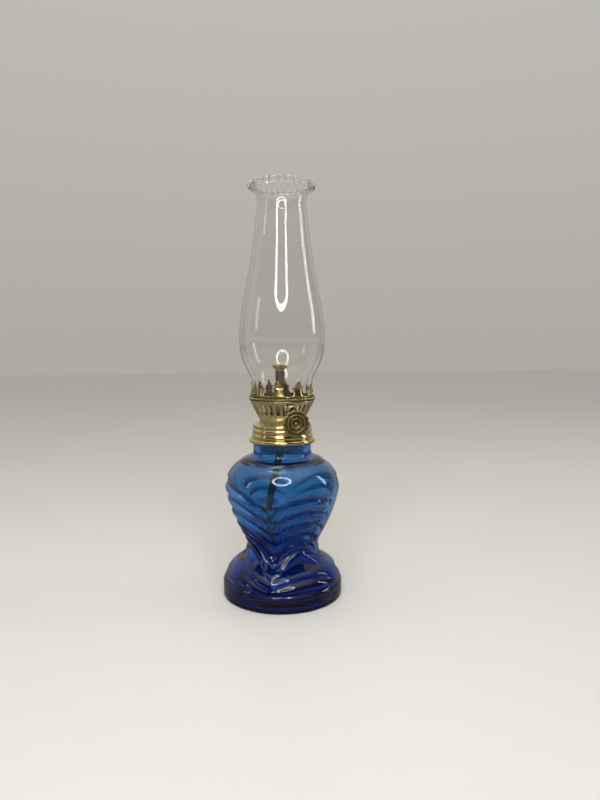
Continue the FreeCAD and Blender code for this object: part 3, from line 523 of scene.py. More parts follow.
# Painted shade: where the rib_shade share is high, in the grooves of the ribs, the glass's colour turns deep
# navy, standing in for the dark bands that the ribs throw.
groove_shade = node(tree, "ShaderNodeAttribute", attribute_name="rib_shade").outputs["Fac"]
grooves_painted_dark = blend(tree, ramp(tree, groove_shade, 0.15, 0.72, 0.0, 0.92), tint, (0.004, 0.05, 0.24, 1))
tree.links.new(grooves_painted_dark, shader.inputs["Base Color"])
swirl = node(tree, "ShaderNodeTexNoise", {"Vector": place, "Scale": 85.0, "Detail": 1.5}).outputs["Fac"]
press(tree, shader, swirl, 0.35, 0.5)
range_to(tree, shader.inputs["Roughness"], streak, 0.0, 0.05)
shader.inputs["Transmission Weight"].default_value = 1.0
shader.inputs["IOR"].default_value = 1.5
depth_tint = node(tree, "ShaderNodeVolumeAbsorption", {"Color": (0.0, 0.42, 0.86, 1), "Density": 200.0})
tree.links.new(depth_tint.outputs["Volume"], tree.nodes["Material Output"].inputs["Volume"])

rib_tree, given, result = new_tree("rib_moulding", [
    ("Spine Angle", "NodeSocketFloat", -25.5),
    ("Rib Pitch", "NodeSocketFloat", 6.8),
    ("Rib Depth", "NodeSocketFloat", 1.5),
    ("Leaf Rise", "NodeSocketFloat", 13.8),
    ("Top Groove", "NodeSocketFloat", 49.1),
    ("Close From", "NodeSocketFloat", 27.0),
    ("Glass", "NodeSocketMaterial", None),
])


def rib_maths(*terms):
    return maths(rib_tree, *terms)


def rib_ramp(*terms):
    return ramp(rib_tree, *terms)


spot = node(rib_tree, "ShaderNodeSeparateXYZ", {
    "Vector": rib_tree.nodes.new("GeometryNodeInputPosition").outputs[0]}).outputs
turn = rib_maths("MULTIPLY", rib_maths("ARCTAN2", spot["X"], rib_maths("MULTIPLY", spot["Y"], -1.0)),
                 180 / math.pi)
past_spine = rib_maths("WRAP", rib_maths("SUBTRACT", turn, given.outputs["Spine Angle"]), 90.0, -90.0)
folded = rib_maths("ABSOLUTE", past_spine)
arch_sine = rib_maths("SINE", rib_maths("MULTIPLY", folded, math.radians(90 / 39)))
arch = rib_maths("MULTIPLY", 0.62, rib_maths("POWER", rib_maths("MAXIMUM", arch_sine, 0.0), 0.7))
to_edge = rib_maths("SUBTRACT", 1.0, rib_maths("DIVIDE", folded, 90.0))
sweep = rib_maths("SUBTRACT", 1.0, rib_maths("POWER", to_edge, 3.0))
rise = node(rib_tree, "ShaderNodeMix", {
    "Factor": rib_maths("GREATER_THAN", past_spine, 0.0), "A": sweep, "B": arch,
}).outputs["Result"]
climb = rib_maths("MULTIPLY", rise, given.outputs["Leaf Rise"])
height = rib_maths("MULTIPLY", spot["Z"], 1000.0)
climb = rib_maths("MULTIPLY", climb, rib_ramp(height, 7.0, 32.0, 0.35, 1.0))
straight_level = rib_maths("SUBTRACT", height, climb)
below_waist = rib_maths("MAXIMUM", rib_maths("SUBTRACT", given.outputs["Close From"], straight_level), 0.0)
rib_level = rib_maths("MULTIPLY_ADD", below_waist, -0.6, straight_level)
past_top = rib_maths("SUBTRACT", rib_level, given.outputs["Top Groove"])
rib_number = rib_maths("ADD", rib_maths("DIVIDE", past_top, given.outputs["Rib Pitch"]), 0.5)
wave = rib_maths("ABSOLUTE", rib_maths("COSINE", rib_maths("MULTIPLY", math.pi, rib_number)))
groove = rib_maths("SUBTRACT", 1.0, rib_maths("POWER", wave, 0.8))
cut = node(rib_tree, "ShaderNodeMix", {
    "Factor": rib_maths("GREATER_THAN", rib_level, given.outputs["Top Groove"]), "A": groove,
    "B": rib_ramp(past_top, 0.0, 3.2, 1.0, 0.0),
}).outputs["Result"]
wall_share = node(rib_tree, "GeometryNodeInputNamedAttribute", data_type="FLOAT")
wall_share.inputs["Name"].default_value = "relief_share"
relief = given.outputs["Rib Depth"]
for factor in (
    cut,
    rib_ramp(folded, 2.0, 26.0, 0.62, 1.0),        # shallower towards the spine
    rib_ramp(folded, 0.0, 2.6, 0.10, 1.0),         # the spine itself stands out
    rib_ramp(past_spine, 60.0, 74.0, 1.0, 0.0),    # runs out before the right edge of the leaf
    rib_ramp(past_spine, -90.0, -85.0),            # and at its left edge
    rib_ramp(past_spine, -76.0, -48.0, 1.5, 1.0),  # deeper towards the left edge
    rib_ramp(height, 8.9, 11.0),                   # none on the foot's band
    rib_ramp(height, 16.0, 28.0, 0.80, 1.0),
    rib_ramp(height, 66.0, 71.0, 1.0, 0.0),        # none on the shoulder
    wall_share.outputs["Attribute"],
):
    relief = rib_maths("MULTIPLY", relief, factor)
sideways = node(rib_tree, "ShaderNodeCombineXYZ", {"X": spot["X"], "Y": spot["Y"]})
outward = node(rib_tree, "ShaderNodeVectorMath", {0: sideways.outputs[0]}, operation="NORMALIZE")
inward = node(rib_tree, "ShaderNodeVectorMath", {
    0: outward.outputs[0], "Scale": rib_maths("MULTIPLY", relief, -MM),
}, operation="SCALE")
# The relief's share is stored as rib_shade, which the glass's colour uses for painted shade in the grooves.
shaded = node(rib_tree, "GeometryNodeStoreNamedAttribute", {
    "Geometry": given.outputs["Geometry"], "Name": "rib_shade",
    "Value": rib_maths("DIVIDE", relief, given.outputs["Rib Depth"]),
}, data_type="FLOAT", domain="POINT")
moved = node(rib_tree, "GeometryNodeSetPosition", {
    "Geometry": shaded.outputs[0], "Offset": inward.outputs[0],
})
solid = node(rib_tree, "GeometryNodeRealizeInstances", {0: moved.outputs[0]})
finish = node(rib_tree, "GeometryNodeSetMaterial", {0: solid.outputs[0], "Material": given.outputs["Glass"]})
rib_tree.links.new(finish.outputs[0], result.inputs[0])

font_columns = 288
font = lathe("font_glass", font_outside + font_inside, font_columns, blue_glass)
wall_shares = font.data.attributes.new("relief_share", "FLOAT", "POINT")


def inner_radius(height):
    """The hollow's radius at a height, for telling the outer face of the wall from the inner one."""
    return min(font_inside[8:-9], key=lambda point: abs(point[1] - height))[0]


for vertex in font.data.vertices:
    radius = math.hypot(vertex.co.x, vertex.co.y) / MM
    height = vertex.co.z / MM
    outer = radius > inner_radius(height) + 0.9 and height > 7.0
    wall_shares.data[vertex.index].value = 1.0 if outer else (0.35 if 7.0 < height < 70.0 else 0.0)
settle(font, rib_tree, {"Glass": blue_glass})
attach(font, "font")
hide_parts("oil_font")


# ---------------------------------------------------------------- neck collar and its cement
# A spun brass collar with a rolled rim, pressed over the glass lip and held there by plaster.
# The brass is bright and lacquered, with faint lathe lines and a few handling marks.
def marks_group():
    """Wear that several finishes share, broad smudges, fine scratches and the edges that stand out, and a
    mask of the recesses, where some finishes paint shade.
    """
    group = bpy.data.node_groups.new("marks_and_recess_shade", "ShaderNodeTree")
    group.interface.new_socket("Vector", in_out="INPUT", socket_type="NodeSocketVector")
    for label, scale in (("Smudge Scale", 120.0), ("Scratch Scale", 900.0)):
        group.interface.new_socket(label, in_out="INPUT", socket_type="NodeSocketFloat").default_value = scale
    for label in ("Smudge", "Scratch", "Edge", "Recess"):
        group.interface.new_socket(label, in_out="OUTPUT", socket_type="NodeSocketFloat")
    given = group.nodes.new("NodeGroupInput")
    result = group.nodes.new("NodeGroupOutput")
    smudge = node(group, "ShaderNodeTexNoise", {
        "Vector": given.outputs["Vector"], "Scale": given.outputs["Smudge Scale"], "Detail": 4.0,
    })
    stretch = node(group, "ShaderNodeMapping", {
        "Vector": given.outputs["Vector"], "Scale": (0.12, 0.12, 1.0),
    })
    scratch = node(group, "ShaderNodeTexNoise", {
        "Vector": stretch.outputs[0], "Scale": given.outputs["Scratch Scale"], "Detail": 3.0,
    })
    bend = group.nodes.new("ShaderNodeNewGeometry").outputs["Pointiness"]
    edge = ramp(group, bend, 0.50, 0.56)
    recess = ramp(group, bend, 0.43, 0.495, 1.0, 0.0)
    group.links.new(smudge.outputs["Fac"], result.inputs["Smudge"])
    group.links.new(scratch.outputs["Fac"], result.inputs["Scratch"])
    group.links.new(edge, result.inputs["Edge"])
    group.links.new(recess, result.inputs["Recess"])
    return group


marks_and_recess_shade = marks_group()


def marked(tree, smudge_scale=120.0, scratch_scale=900.0):
    """The object's own coordinates, and the handling marks and the recess mask at them."""
    place = node(tree, "ShaderNodeTexCoord").outputs["Object"]
    marks = node(tree, "ShaderNodeGroup", node_tree=marks_and_recess_shade)
    tree.links.new(place, marks.inputs["Vector"])
    marks.inputs["Smudge Scale"].default_value = smudge_scale
    marks.inputs["Scratch Scale"].default_value = scratch_scale
    return place, marks.outputs


def wear_and_shade(tree, colour, mask, strength, shown):
    """Lets another colour show where a mask is strong: worn edges, and near black in recesses, painted shade
    on the bright brass and patina on the antiqued knob.
    """
    return blend(tree, maths(tree, "MULTIPLY", mask, strength), colour, shown)


def brass_material(name, clean, dull, rough_low, rough_high, line_depth, grain_scale, smudge_scale=120.0):
    """Sheet or spun brass: dulled in patches, with lathe or rolling lines, brighter edges and painted shade,
    near black, in its recesses.
    """
    material, tree, shader = new_material(name)
    place, marks = marked(tree, smudge_scale, grain_scale)
    tone = blend(tree, ramp(tree, marks["Smudge"], 0.35, 0.68), clean, dull)
    tone = wear_and_shade(tree, tone, marks["Edge"], 0.35, (0.94, 0.86, 0.60, 1))
    # Painted shade: the recesses go near black.
    tone = wear_and_shade(tree, tone, marks["Recess"], 0.85, (0.085, 0.055, 0.020, 1))
    tree.links.new(tone, shader.inputs["Base Color"])
    range_to(tree, shader.inputs["Roughness"], marks["Smudge"], rough_low, rough_high, 0.3, 0.7)
    press(tree, shader, marks["Scratch"], 0.5, line_depth)
    shader.inputs["Metallic"].default_value = 1.0
    return material


polished_brass = brass_material(
    "brass_spun", (0.80, 0.67, 0.33, 1), (0.64, 0.52, 0.24, 1), 0.06, 0.15, 0.012, 1400.0)
collar = lathe("collar_spun", (
    [(15.1, 83.2), (16.9, 83.2)]
    + arc((16.9, 83.2), (17.1, 85.6), 0.52, "left", 18)
    + arc((17.1, 85.6), (16.15, 86.0), 0.8, "right", 6)
    + arc((16.15, 86.0), (16.25, 88.0), 0.75, "left", 12)
    + arc((16.25, 88.0), (15.7, 88.6), 0.8, "left", 6)
    + [(15.7, 88.6), (11.6, 88.6), (11.4, 88.4)]
    + run_up((11.4, 88.4), (11.4, 86.8), 3)
    + [point for turn in range(4) for point in (
        (11.4, 86.6 - 1.5 * turn), (10.98, 85.85 - 1.5 * turn))]
    + [(11.4, 80.5), (11.4, 79.8), (12.1, 79.8), (12.1, 87.9), (15.1, 87.9)]
), 240, polished_brass)
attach(collar, "font")
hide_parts("neck_collar")


def dress(names, material):
    """Gives CAD nodes that stay as they are their finished material."""
    for name in names:
        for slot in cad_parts[name].material_slots:
            slot.material = material


plaster, tree, shader = new_material("plaster_set")
place = node(tree, "ShaderNodeTexCoord").outputs["Object"]
grit = node(tree, "ShaderNodeTexNoise", {"Vector": place, "Scale": 700.0, "Detail": 6.0})
tone = blend(tree, grit.outputs["Fac"], (0.62, 0.58, 0.50, 1), (0.80, 0.77, 0.70, 1))
tree.links.new(tone, shader.inputs["Base Color"])
press(tree, shader, grit.outputs["Fac"], 0.6, 0.1)
shader.inputs["Roughness"].default_value = 0.9
dress(["collar_cement"], plaster)


# ---------------------------------------------------------------- burner base and floor
# The burner's spun brass base: a threaded skirt down inside the collar, a seat flange with a
# raised bead, an upright wall and a flat top that the basket's neck is soldered in.
base = lathe("base_spun", (
    [(9.65, 80.4), (10.35, 80.4)]
    + [point for turn in range(4) for point in (
        (10.35, 81.2 + 1.6 * turn), (10.8, 82.0 + 1.6 * turn))]
    + [(10.35, 87.6), (10.35, 88.6), (15.4, 88.6)]
    + arc((15.4, 88.6), (15.75, 90.9), 0.62, "left", 14)
    + arc((15.75, 90.9), (15.5, 91.35), 0.8, "right", 4)
    + arc((15.5, 91.35), (15.85, 91.8), 0.8, "right", 4)
    + run_up((15.85, 91.8), (15.9, 92.5), 3)
    + arc((15.9, 92.5), (15.2, 93.2), 0.72, "left", 6)
    + run_up((15.2, 93.2), (12.9, 93.15), 4)
    + [(12.5, 93.1), (12.3, 92.9), (12.3, 92.5), (14.6, 92.5), (15.2, 91.9), (15.2, 89.3), (9.65, 89.3)]
), 240, polished_brass)
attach(base, "burner")
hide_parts("burner_base")
dress(["burner_floor"], polished_brass)


# ---------------------------------------------------------------- air basket
# Stamped from thin brass and flared: a plain neck, a band of long round-ended slots that let the
# air in, and an arched boss pressed outwards where the winder's shaft comes through.
satin_brass = brass_material(
    "brass_stamped", (0.70, 0.61, 0.36, 1), (0.54, 0.45, 0.23, 1), 0.20, 0.34, 0.03, 700.0, 90.0)
slot_places = 26
slot_angle = math.tau / slot_places
boss_angle = math.asin(1.6 / 16.8)
basket_wall = [(12.25, 89.3), (12.25, 95.4), (12.45, 96.3), (12.95, 97.2), (13.35, 98.1),
               (16.85, 105.0), (17.5, 106.2)]
slot_half_width = 0.85
slot_low, slot_high = 98.6, 104.6
slot_frame_low, slot_frame_high = 98.05, 105.0


def wall_radius(height):
    """The basket wall's outer radius at a height."""
    for (low_radius, low), (high_radius, high) in zip(basket_wall, basket_wall[1:]):
        if height <= high:
            return low_radius + (high_radius - low_radius) * (height - low) / (high - low)
    return basket_wall[-1][0]


def on_wall(across, height, proud=0.0):
    """A point on the wall, across millimetres along it from the middle of a slot."""
    radius = wall_radius(height) + proud
    angle = across / radius
    return (radius * MM * math.sin(angle), -radius * MM * math.cos(angle), height * MM)


def slotted_sector():
    """One sector of the basket: rows of its neck and rims, and round its slot a raised lip."""
    vertices, faces = [], []

    def strip(rows):
        first = len(vertices)
        for height in rows:
            for step in range(9):
                angle = slot_angle * (step / 8 - 0.5)
                vertices.append(on_wall(angle * wall_radius(height), height))
        faces.extend(skin(len(rows), 9, False, first))

    strip([89.3, 90.5, 92.0, 93.5, 94.8, 95.4, 95.8, 96.3, 96.8, 97.2, 97.7, slot_frame_low])
    strip([slot_frame_high, 105.4, 105.8, 106.2])
    sides, ends = 12, 8
    loops = []
    for grow, proud in ((None, 0.0), (0.50, 0.0), (0.22, 0.14), (0.0, -0.10)):
        loop = []
        if grow is None:
            low, high, half = slot_frame_low, slot_frame_high, None
        else:
            half = slot_half_width + grow
            low, high = slot_low - grow + half, slot_high + grow - half
        for side, number in (("right", sides), ("top", ends), ("left", sides), ("bottom", ends)):
            for step in range(number):
                share = step / number
                if side in ("right", "left"):
                    rise = share if side == "right" else 1 - share
                    height = low + (high - low) * rise
                    edge_half = slot_angle / 2 * wall_radius(height) if half is None else half
                    across = edge_half if side == "right" else -edge_half
                elif half is None:
                    height = high if side == "top" else low
                    across = slot_angle * wall_radius(height) * (0.5 - share) * (1 if side == "top" else -1)
                else:
                    turn = math.pi * share + (0 if side == "top" else math.pi)
                    height = (high if side == "top" else low) + half * math.sin(turn)
                    across = half * math.cos(turn)
                vertices.append(on_wall(across, height, proud))
                loop.append(len(vertices) - 1)
        loops.append(loop)
    for outer, inner in zip(loops, loops[1:]):
        for step in range(len(outer)):
            after = (step + 1) % len(outer)
            faces.append((outer[step], outer[after], inner[after], inner[step]))
    return vertices, faces


def plain_sector():
    """The sector behind the boss, without a slot."""
    vertices = []
    rows = [89.3, 92.0, 94.8, 95.8, 96.8, 98.1, 100.0, 102.0, 104.0, 105.0, 106.2]
    for height in rows:
        for step in range(9):
            angle = slot_angle * (step / 8 - 0.5)
            vertices.append(on_wall(angle * wall_radius(height), height))
    return vertices, skin(len(rows), 9, False)


def ring_tree(name):
    """Repeats a shape round Z: so many copies, from one angle, a pitch apart."""
    tree, given, result = new_tree(name, [
        ("Copies", "NodeSocketInt", 10),
        ("First Angle", "NodeSocketFloat", 0.0),
        ("Pitch Angle", "NodeSocketFloat", 0.1),
        ("Finish", "NodeSocketMaterial", None),
    ])
    line = node(tree, "GeometryNodeMeshLine", {"Count": given.outputs["Copies"], "Offset": (0.0, 0.0, 0.0)})
    number = tree.nodes.new("GeometryNodeInputIndex").outputs[0]
    angle = maths(tree, "MULTIPLY_ADD", number, given.outputs["Pitch Angle"], given.outputs["First Angle"])
    turned = node(tree, "ShaderNodeCombineXYZ", {"Z": angle})
    copies = node(tree, "GeometryNodeInstanceOnPoints", {
        "Points": line.outputs[0], "Instance": given.outputs["Geometry"], "Rotation": turned.outputs[0],
    })
    solid = node(tree, "GeometryNodeRealizeInstances", {0: copies.outputs[0]})
    merged = node(tree, "GeometryNodeMergeByDistance", {"Geometry": solid.outputs[0], "Distance": 0.002 * MM})
    finish = node(tree, "GeometryNodeSetMaterial", {
        0: merged.outputs[0], "Material": given.outputs["Finish"],
    })
    tree.links.new(finish.outputs[0], result.inputs[0])
    return tree


round_tree = ring_tree("repeat_round")


def thicken(piece, wall):
    """Gives a sheet its wall, inwards from the drawn face."""
    modifier = piece.modifiers.new("wall", "SOLIDIFY")
    modifier.thickness = wall * MM
    modifier.offset = -1.0
    baked(piece, modifier)


def joined_piece(name, pieces):
    """Joins pieces of one body in one object."""
    shape = bmesh.new()
    for piece in pieces:
        shape.from_mesh(piece.data)
    mesh = bpy.data.meshes.new(name)
    bmesh.ops.remove_doubles(shape, verts=shape.verts, dist=0.002 * MM)
    shape.to_mesh(mesh)
    shape.free()
    mesh.materials.append(pieces[0].data.materials[0])
    mesh.shade_smooth()
    for piece in pieces:
        bpy.data.objects.remove(piece)
    whole = bpy.data.objects.new(name, mesh)
    bpy.context.scene.collection.objects.link(whole)
    return whole


slotted = new_piece("slotted", *slotted_sector(), satin_brass)
settle(slotted, round_tree, {
    "Copies": slot_places - 1, "First Angle": boss_angle + slot_angle,
    "Pitch Angle": slot_angle, "Finish": satin_brass,
})
plain = new_piece("plain", *plain_sector(), satin_brass)
settle(plain, round_tree, {
    "Copies": 1, "First Angle": boss_angle, "Pitch Angle": 0.0, "Finish": satin_brass,
})
basket = joined_piece("basket_wall", [slotted, plain])
thicken(basket, 0.6)
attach(basket, "burner")
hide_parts("air_basket")


def arch_line(half, low, high, steps=18):
    """An upright arch: two sides and a round top, from the lower left round to the lower right."""
    spring = high - half
    line = [(-half, low), (-half, (low + spring) / 2)]
    for step in range(steps + 1):
        angle = math.pi - math.pi * step / steps
        line.append((half * math.cos(angle), spring + half * math.sin(angle)))
    return line + [(half, (low + spring) / 2), (half, low)]


def arched_boss():
    """The boss: sides that stand out of the wall, a raised rim and a sunk face."""
    middle = 1.6
    front = 16.75
    loops = []
    for half, low, high, reach in (
        (2.75, 93.3, 104.5, 12.0), (2.6, 93.35, 104.35, front - 0.3), (2.45, 93.5, 104.2, front),
        (1.95, 94.0, 103.7, front), (1.8, 94.15, 103.5, front - 0.35), (1.6, 94.3, 103.3, front - 0.45),
    ):
        loops.append([((middle + across) * MM, -reach * MM, up * MM)
                      for across, up in arch_line(half, low, high)])
    vertices = [point for loop in loops for point in loop]
    size = len(loops[0])
    faces = skin(len(loops), size)
    faces.append(tuple(range((len(loops) - 1) * size, len(loops) * size)))
    faces.append(tuple(reversed(range(size))))
    return vertices, faces


boss = new_piece("basket_boss", *arched_boss(), satin_brass)
face_outwards(boss)
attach(boss, "burner")
dress(["draught_plate", "sprocket_housing", "vent_tube"], satin_brass)


# ---------------------------------------------------------------- pearl band
# A strip of pearled brass wire soldered round the joint of basket and prong ring. It is darker
# than the basket: between the pearls its colour goes near black, partly tarnish where polish never
# reaches and partly painted shade.
pearled_brass_tarnish_and_shade, tree, shader = new_material("brass_pearled")
place, marks = marked(tree)
flat = node(tree, "ShaderNodeVectorMath", {0: place, 1: (1.0, 1.0, 0.0)}, operation="MULTIPLY")
reach = node(tree, "ShaderNodeVectorMath", {0: flat.outputs[0]}, operation="LENGTH").outputs["Value"]
reach = maths(tree, "MULTIPLY_ADD", marks["Smudge"], 0.15 * MM, reach)
# Between the pearls, nearer the axis, the colour goes near black: tarnish where polish never reaches, and
# painted shade that sets each pearl off.
proud = ramp(tree, reach, 17.55 * MM, 18.05 * MM)
tone = blend(tree, proud, (0.055, 0.038, 0.015, 1), (0.66, 0.56, 0.32, 1))
tree.links.new(tone, shader.inputs["Base Color"])
range_to(tree, shader.inputs["Roughness"], proud, 0.55, 0.20)
shader.inputs["Metallic"].default_value = 1.0
pearl_count = 76
pearl_level = (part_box("pearl_band")[0].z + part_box("pearl_band")[1].z) / 2
pearl_radius = 0.52 * MM
pearl_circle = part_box("pearl_band")[1].x - pearl_radius * 0.25
pearl_vertices = []
for row in range(1, 6):
    for step in range(8):
        tilt = math.pi * row / 6
        angle = math.tau * step / 8
        pearl_vertices.append((
            pearl_radius * 0.68 * math.sin(tilt) * math.cos(angle),
            -pearl_circle + pearl_radius * math.sin(tilt) * math.sin(angle),
            pearl_level + pearl_radius * 1.35 * math.cos(tilt),
        ))
pearl_faces = [tuple(reversed(face)) for face in skin(5, 8)]
pearl_faces += [tuple(range(8)), tuple(reversed(range(32, 40)))]
pearls = new_piece("pearls", pearl_vertices, pearl_faces, pearled_brass_tarnish_and_shade)
face_outwards(pearls)
settle(pearls, round_tree, {
    "Copies": pearl_count, "First Angle": 0.0, "Pitch Angle": math.tau / pearl_count, "Finish": pearled_brass_tarnish_and_shade,
})
strip = lathe("pearl_strip", (
    [(17.0, 106.2), (17.35, 106.2)]
    + arc((17.35, 106.2), (17.35, 106.75), 0.6, "left", 5)
    + [(17.35, 106.75), (17.2, 107.45), (17.35, 108.1)]
    + arc((17.35, 108.1), (17.35, 108.6), 0.6, "left", 5)
    + [(17.35, 108.6), (17.0, 108.6)]
), 180, pearled_brass_tarnish_and_shade)
band = joined_piece("pearl_band_wire", [pearls, strip])
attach(band, "burner")
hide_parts("pearl_band")


# ---------------------------------------------------------------- prong crown
# Ten spring prongs cut from one ring of hard brass. Each narrows from a flared foot, is creased
# where it grips the chimney, and ends in a triangular tip that turns outwards.
prong_count = 10
prong_angle = math.tau / prong_count
prong_turn = math.radians(-20.5)
prong_rows = [
    # height, radius, half width
    (106.3, 17.35, None), (107.4, 17.35, None), (108.6, 17.33, None), (109.0, 17.27, None),
    (109.15, 17.22, 3.6), (109.4, 17.15, 2.95), (109.9, 17.03, 2.60), (110.6, 16.88, 2.42),
    (111.4, 16.71, 2.36), (112.2, 16.54, 2.36), (112.8, 16.42, 2.45), (113.15, 16.34, 2.80),
    (113.4, 16.30, 2.90), (113.6, 16.33, 2.80), (113.8, 16.40, 1.80), (114.1, 16.52, 1.50),
    (115.0, 16.85, 1.15), (116.0, 17.15, 0.74), (116.8, 17.40, 0.38), (117.15, 17.48, 0.12),
]
prong_columns = 12
prong_vertices = []
for height, radius, half in prong_rows:
    half_angle = prong_angle / 2 if half is None else half / radius
    for step in range(prong_columns + 1):
        angle = half_angle * (2 * step / prong_columns - 1)
        arched = half is not None and height < 113.3
        arch = 0.25 * (1 - (2 * step / prong_columns - 1) ** 2) if arched else 0.0
        prong_vertices.append((
            (radius + arch) * MM * math.sin(angle), -(radius + arch) * MM * math.cos(angle), height * MM))
prong_faces = skin(len(prong_rows), prong_columns + 1, False)
prong_brass = brass_material(
    "brass_prongs", (0.62, 0.50, 0.21, 1), (0.34, 0.25, 0.085, 1), 0.12, 0.30, 0.03, 700.0, 70.0)
crown = new_piece("prong_spring_crown", prong_vertices, prong_faces, prong_brass)
settle(crown, round_tree, {
    "Copies": prong_count, "First Angle": prong_turn, "Pitch Angle": prong_angle, "Finish": prong_brass,
})
thicken(crown, 0.4)
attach(crown, "burner")
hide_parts("prong_crown")


# ---------------------------------------------------------------- winder: knob, shaft, spur wheels
# A cast brass thumbwheel, antiqued to an olive brown, is pressed on a plated steel shaft whose
# end is peened over in its recess. Two spur wheels on the shaft lift the wick.
aged_brass, tree, shader = new_material("brass_antiqued")
place, marks = marked(tree, 420.0)
tone = blend(tree, ramp(tree, marks["Smudge"], 0.3, 0.7), (0.17, 0.128, 0.046, 1), (0.07, 0.050, 0.018, 1))
tone = wear_and_shade(tree, tone, marks["Edge"], 0.8, (0.66, 0.56, 0.32, 1))
tone = wear_and_shade(tree, tone, marks["Recess"], 0.9, (0.020, 0.014, 0.007, 1))
tree.links.new(tone, shader.inputs["Base Color"])
range_to(tree, shader.inputs["Roughness"], marks["Smudge"], 0.30, 0.62)
press(tree, shader, marks["Smudge"], 0.5, 0.08)
shader.inputs["Metallic"].default_value = 0.9

shaft_steel, tree, shader = new_material("steel_plated")
place, marks = marked(tree)
tone = blend(tree, marks["Smudge"], (0.22, 0.20, 0.14, 1), (0.42, 0.39, 0.31, 1))
tree.links.new(tone, shader.inputs["Base Color"])
range_to(tree, shader.inputs["Roughness"], marks["Scratch"], 0.25, 0.5)
shader.inputs["Metallic"].default_value = 1.0

shaft_offset, shaft_height = 1.6, 95.8
knob_face = -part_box("wick_knob")[0].y / MM
knob_radius = 7.1
knob_lobes = 14


def scalloped(radius, height, angle):
    """Lobes round the knob's edge, with sharp notches between them."""
    reach = max(0.0, (radius - 5.6) / (knob_radius - 5.6))
    notch = 1 - abs(math.cos(knob_lobes * angle / 2)) ** 0.55
    return radius - 0.85 * reach * notch, height


def stand_on_shaft(piece, level):
    """Lays a piece that was turned round Z along the shaft, its top towards -Y."""
    piece.data.transform(
        Matrix.Translation(Vector((shaft_offset, -level, shaft_height)) * MM)
        @ Matrix.Rotation(math.pi / 2, 4, "X"))
    piece.data.update()


def raised_ring(radius, half, base, crown):
    return arc((radius + half, base), (radius - half, base), 0.5 + 0.14 * (1 - crown), "left", 8)


knob = lathe("knob_cast", (
    [(0.85, -2.6), (2.0, -2.6), (2.2, -2.4), (2.2, -0.1), (2.4, 0.1), (5.6, 0.1), (6.6, 0.1)]
    + arc((6.6, 0.1), (knob_radius, 0.6), 0.72, "left", 5)
    + [(knob_radius, 0.6), (knob_radius, 1.3)]
    + arc((knob_radius, 1.35), (6.5, 1.85), 0.72, "left", 5)
    + [(6.5, 1.85), (5.9, 1.75), (5.2, 1.68)]
    + raised_ring(4.45, 0.36, 1.68, 0.6)
    + [(4.09, 1.66), (3.4, 1.6), (2.8, 1.62)]
    + raised_ring(2.45, 0.30, 1.62, 0.6)
    + [(2.15, 1.6), (1.6, 1.5), (1.5, 1.0), (0.85, 1.0)]
), 224, aged_brass, swell=scalloped)
stand_on_shaft(knob, knob_face - 2.0)
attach(knob, "winder")
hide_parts("wick_knob")

shaft_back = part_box("winder_shaft")[1].y / MM
shaft = lathe("shaft_rod", (
    [(0.0, -shaft_back), (0.6, -shaft_back), (0.8, 0.2 - shaft_back), (0.8, 10.0), (0.8, 23.2)]
    + arc((0.8, 23.2), (0.95, 23.4), 0.8, "right", 3)
    + arc((0.95, 23.4), (0.42, 23.85), 0.75, "left", 6)
    + [(0.42, 23.85), (0.2, 23.93), (0.0, 23.95)]
), 40, shaft_steel)
stand_on_shaft(shaft, 0.0)
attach(shaft, "winder")
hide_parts("winder_shaft")
dress(["spur_wheel_front", "spur_wheel_rear"], shaft_steel)


# ---------------------------------------------------------------- wick tube
# The flat brass tube that guides the wick. Its top has gone dark brown with soot from the flame.
sooty_brass, tree, shader = new_material("brass_sooted")
place, marks = marked(tree)
level = node(tree, "ShaderNodeSeparateXYZ", {"Vector": place}).outputs["Z"]
soot = ramp(tree, maths(tree, "MULTIPLY_ADD", marks["Smudge"], 6 * MM, level), 106 * MM, 113 * MM)
tone = blend(tree, soot, (0.66, 0.52, 0.25, 1), (0.045, 0.028, 0.018, 1))
tree.links.new(tone, shader.inputs["Base Color"])
range_to(tree, shader.inputs["Roughness"], soot, 0.3, 0.75)
range_to(tree, shader.inputs["Metallic"], soot, 1.0, 0.3)
dress(["wick_tube"], sooty_brass)


# ---------------------------------------------------------------- wick
# Flat woven cotton in the tube. Its standing end is charred dark brown and, at the very top, has
# frayed to a pale crumbling tuft.
wick_top = wick_high.z
tuft_low = wick_top - 2.0 * MM
charred = cotton_material(
    "wick_cotton_charred", (0.98, 0.71, 0.34, 1), (0.78, 0.50, 0.20, 1),
    char_low=112.0 * MM, char_start=117.0 * MM, char_end=wick_top - 1.5 * MM)
stem_line = [Vector((wick_middle, 0.0, wick_low.z + (tuft_low + 0.4 * MM - wick_low.z) * step / 60))
             for step in range(61)]
stem = tape("wick_tape", stem_line, wick_width, wick_thickness, charred)
tube_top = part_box("wick_tube")[1].z
for vertex in stem.data.vertices:
    swell = min(max((vertex.co.z - tube_top) / (2 * MM), 0.0), 1.0)
    vertex.co.x = wick_middle + (vertex.co.x - wick_middle) * (1 + 0.6 * swell) + 0.1 * MM * swell


def squared(side):
    """Pushes a sine or cosine outwards, so that a circle turns into a rounded oblong."""
    return math.copysign(abs(side) ** 0.55, side)


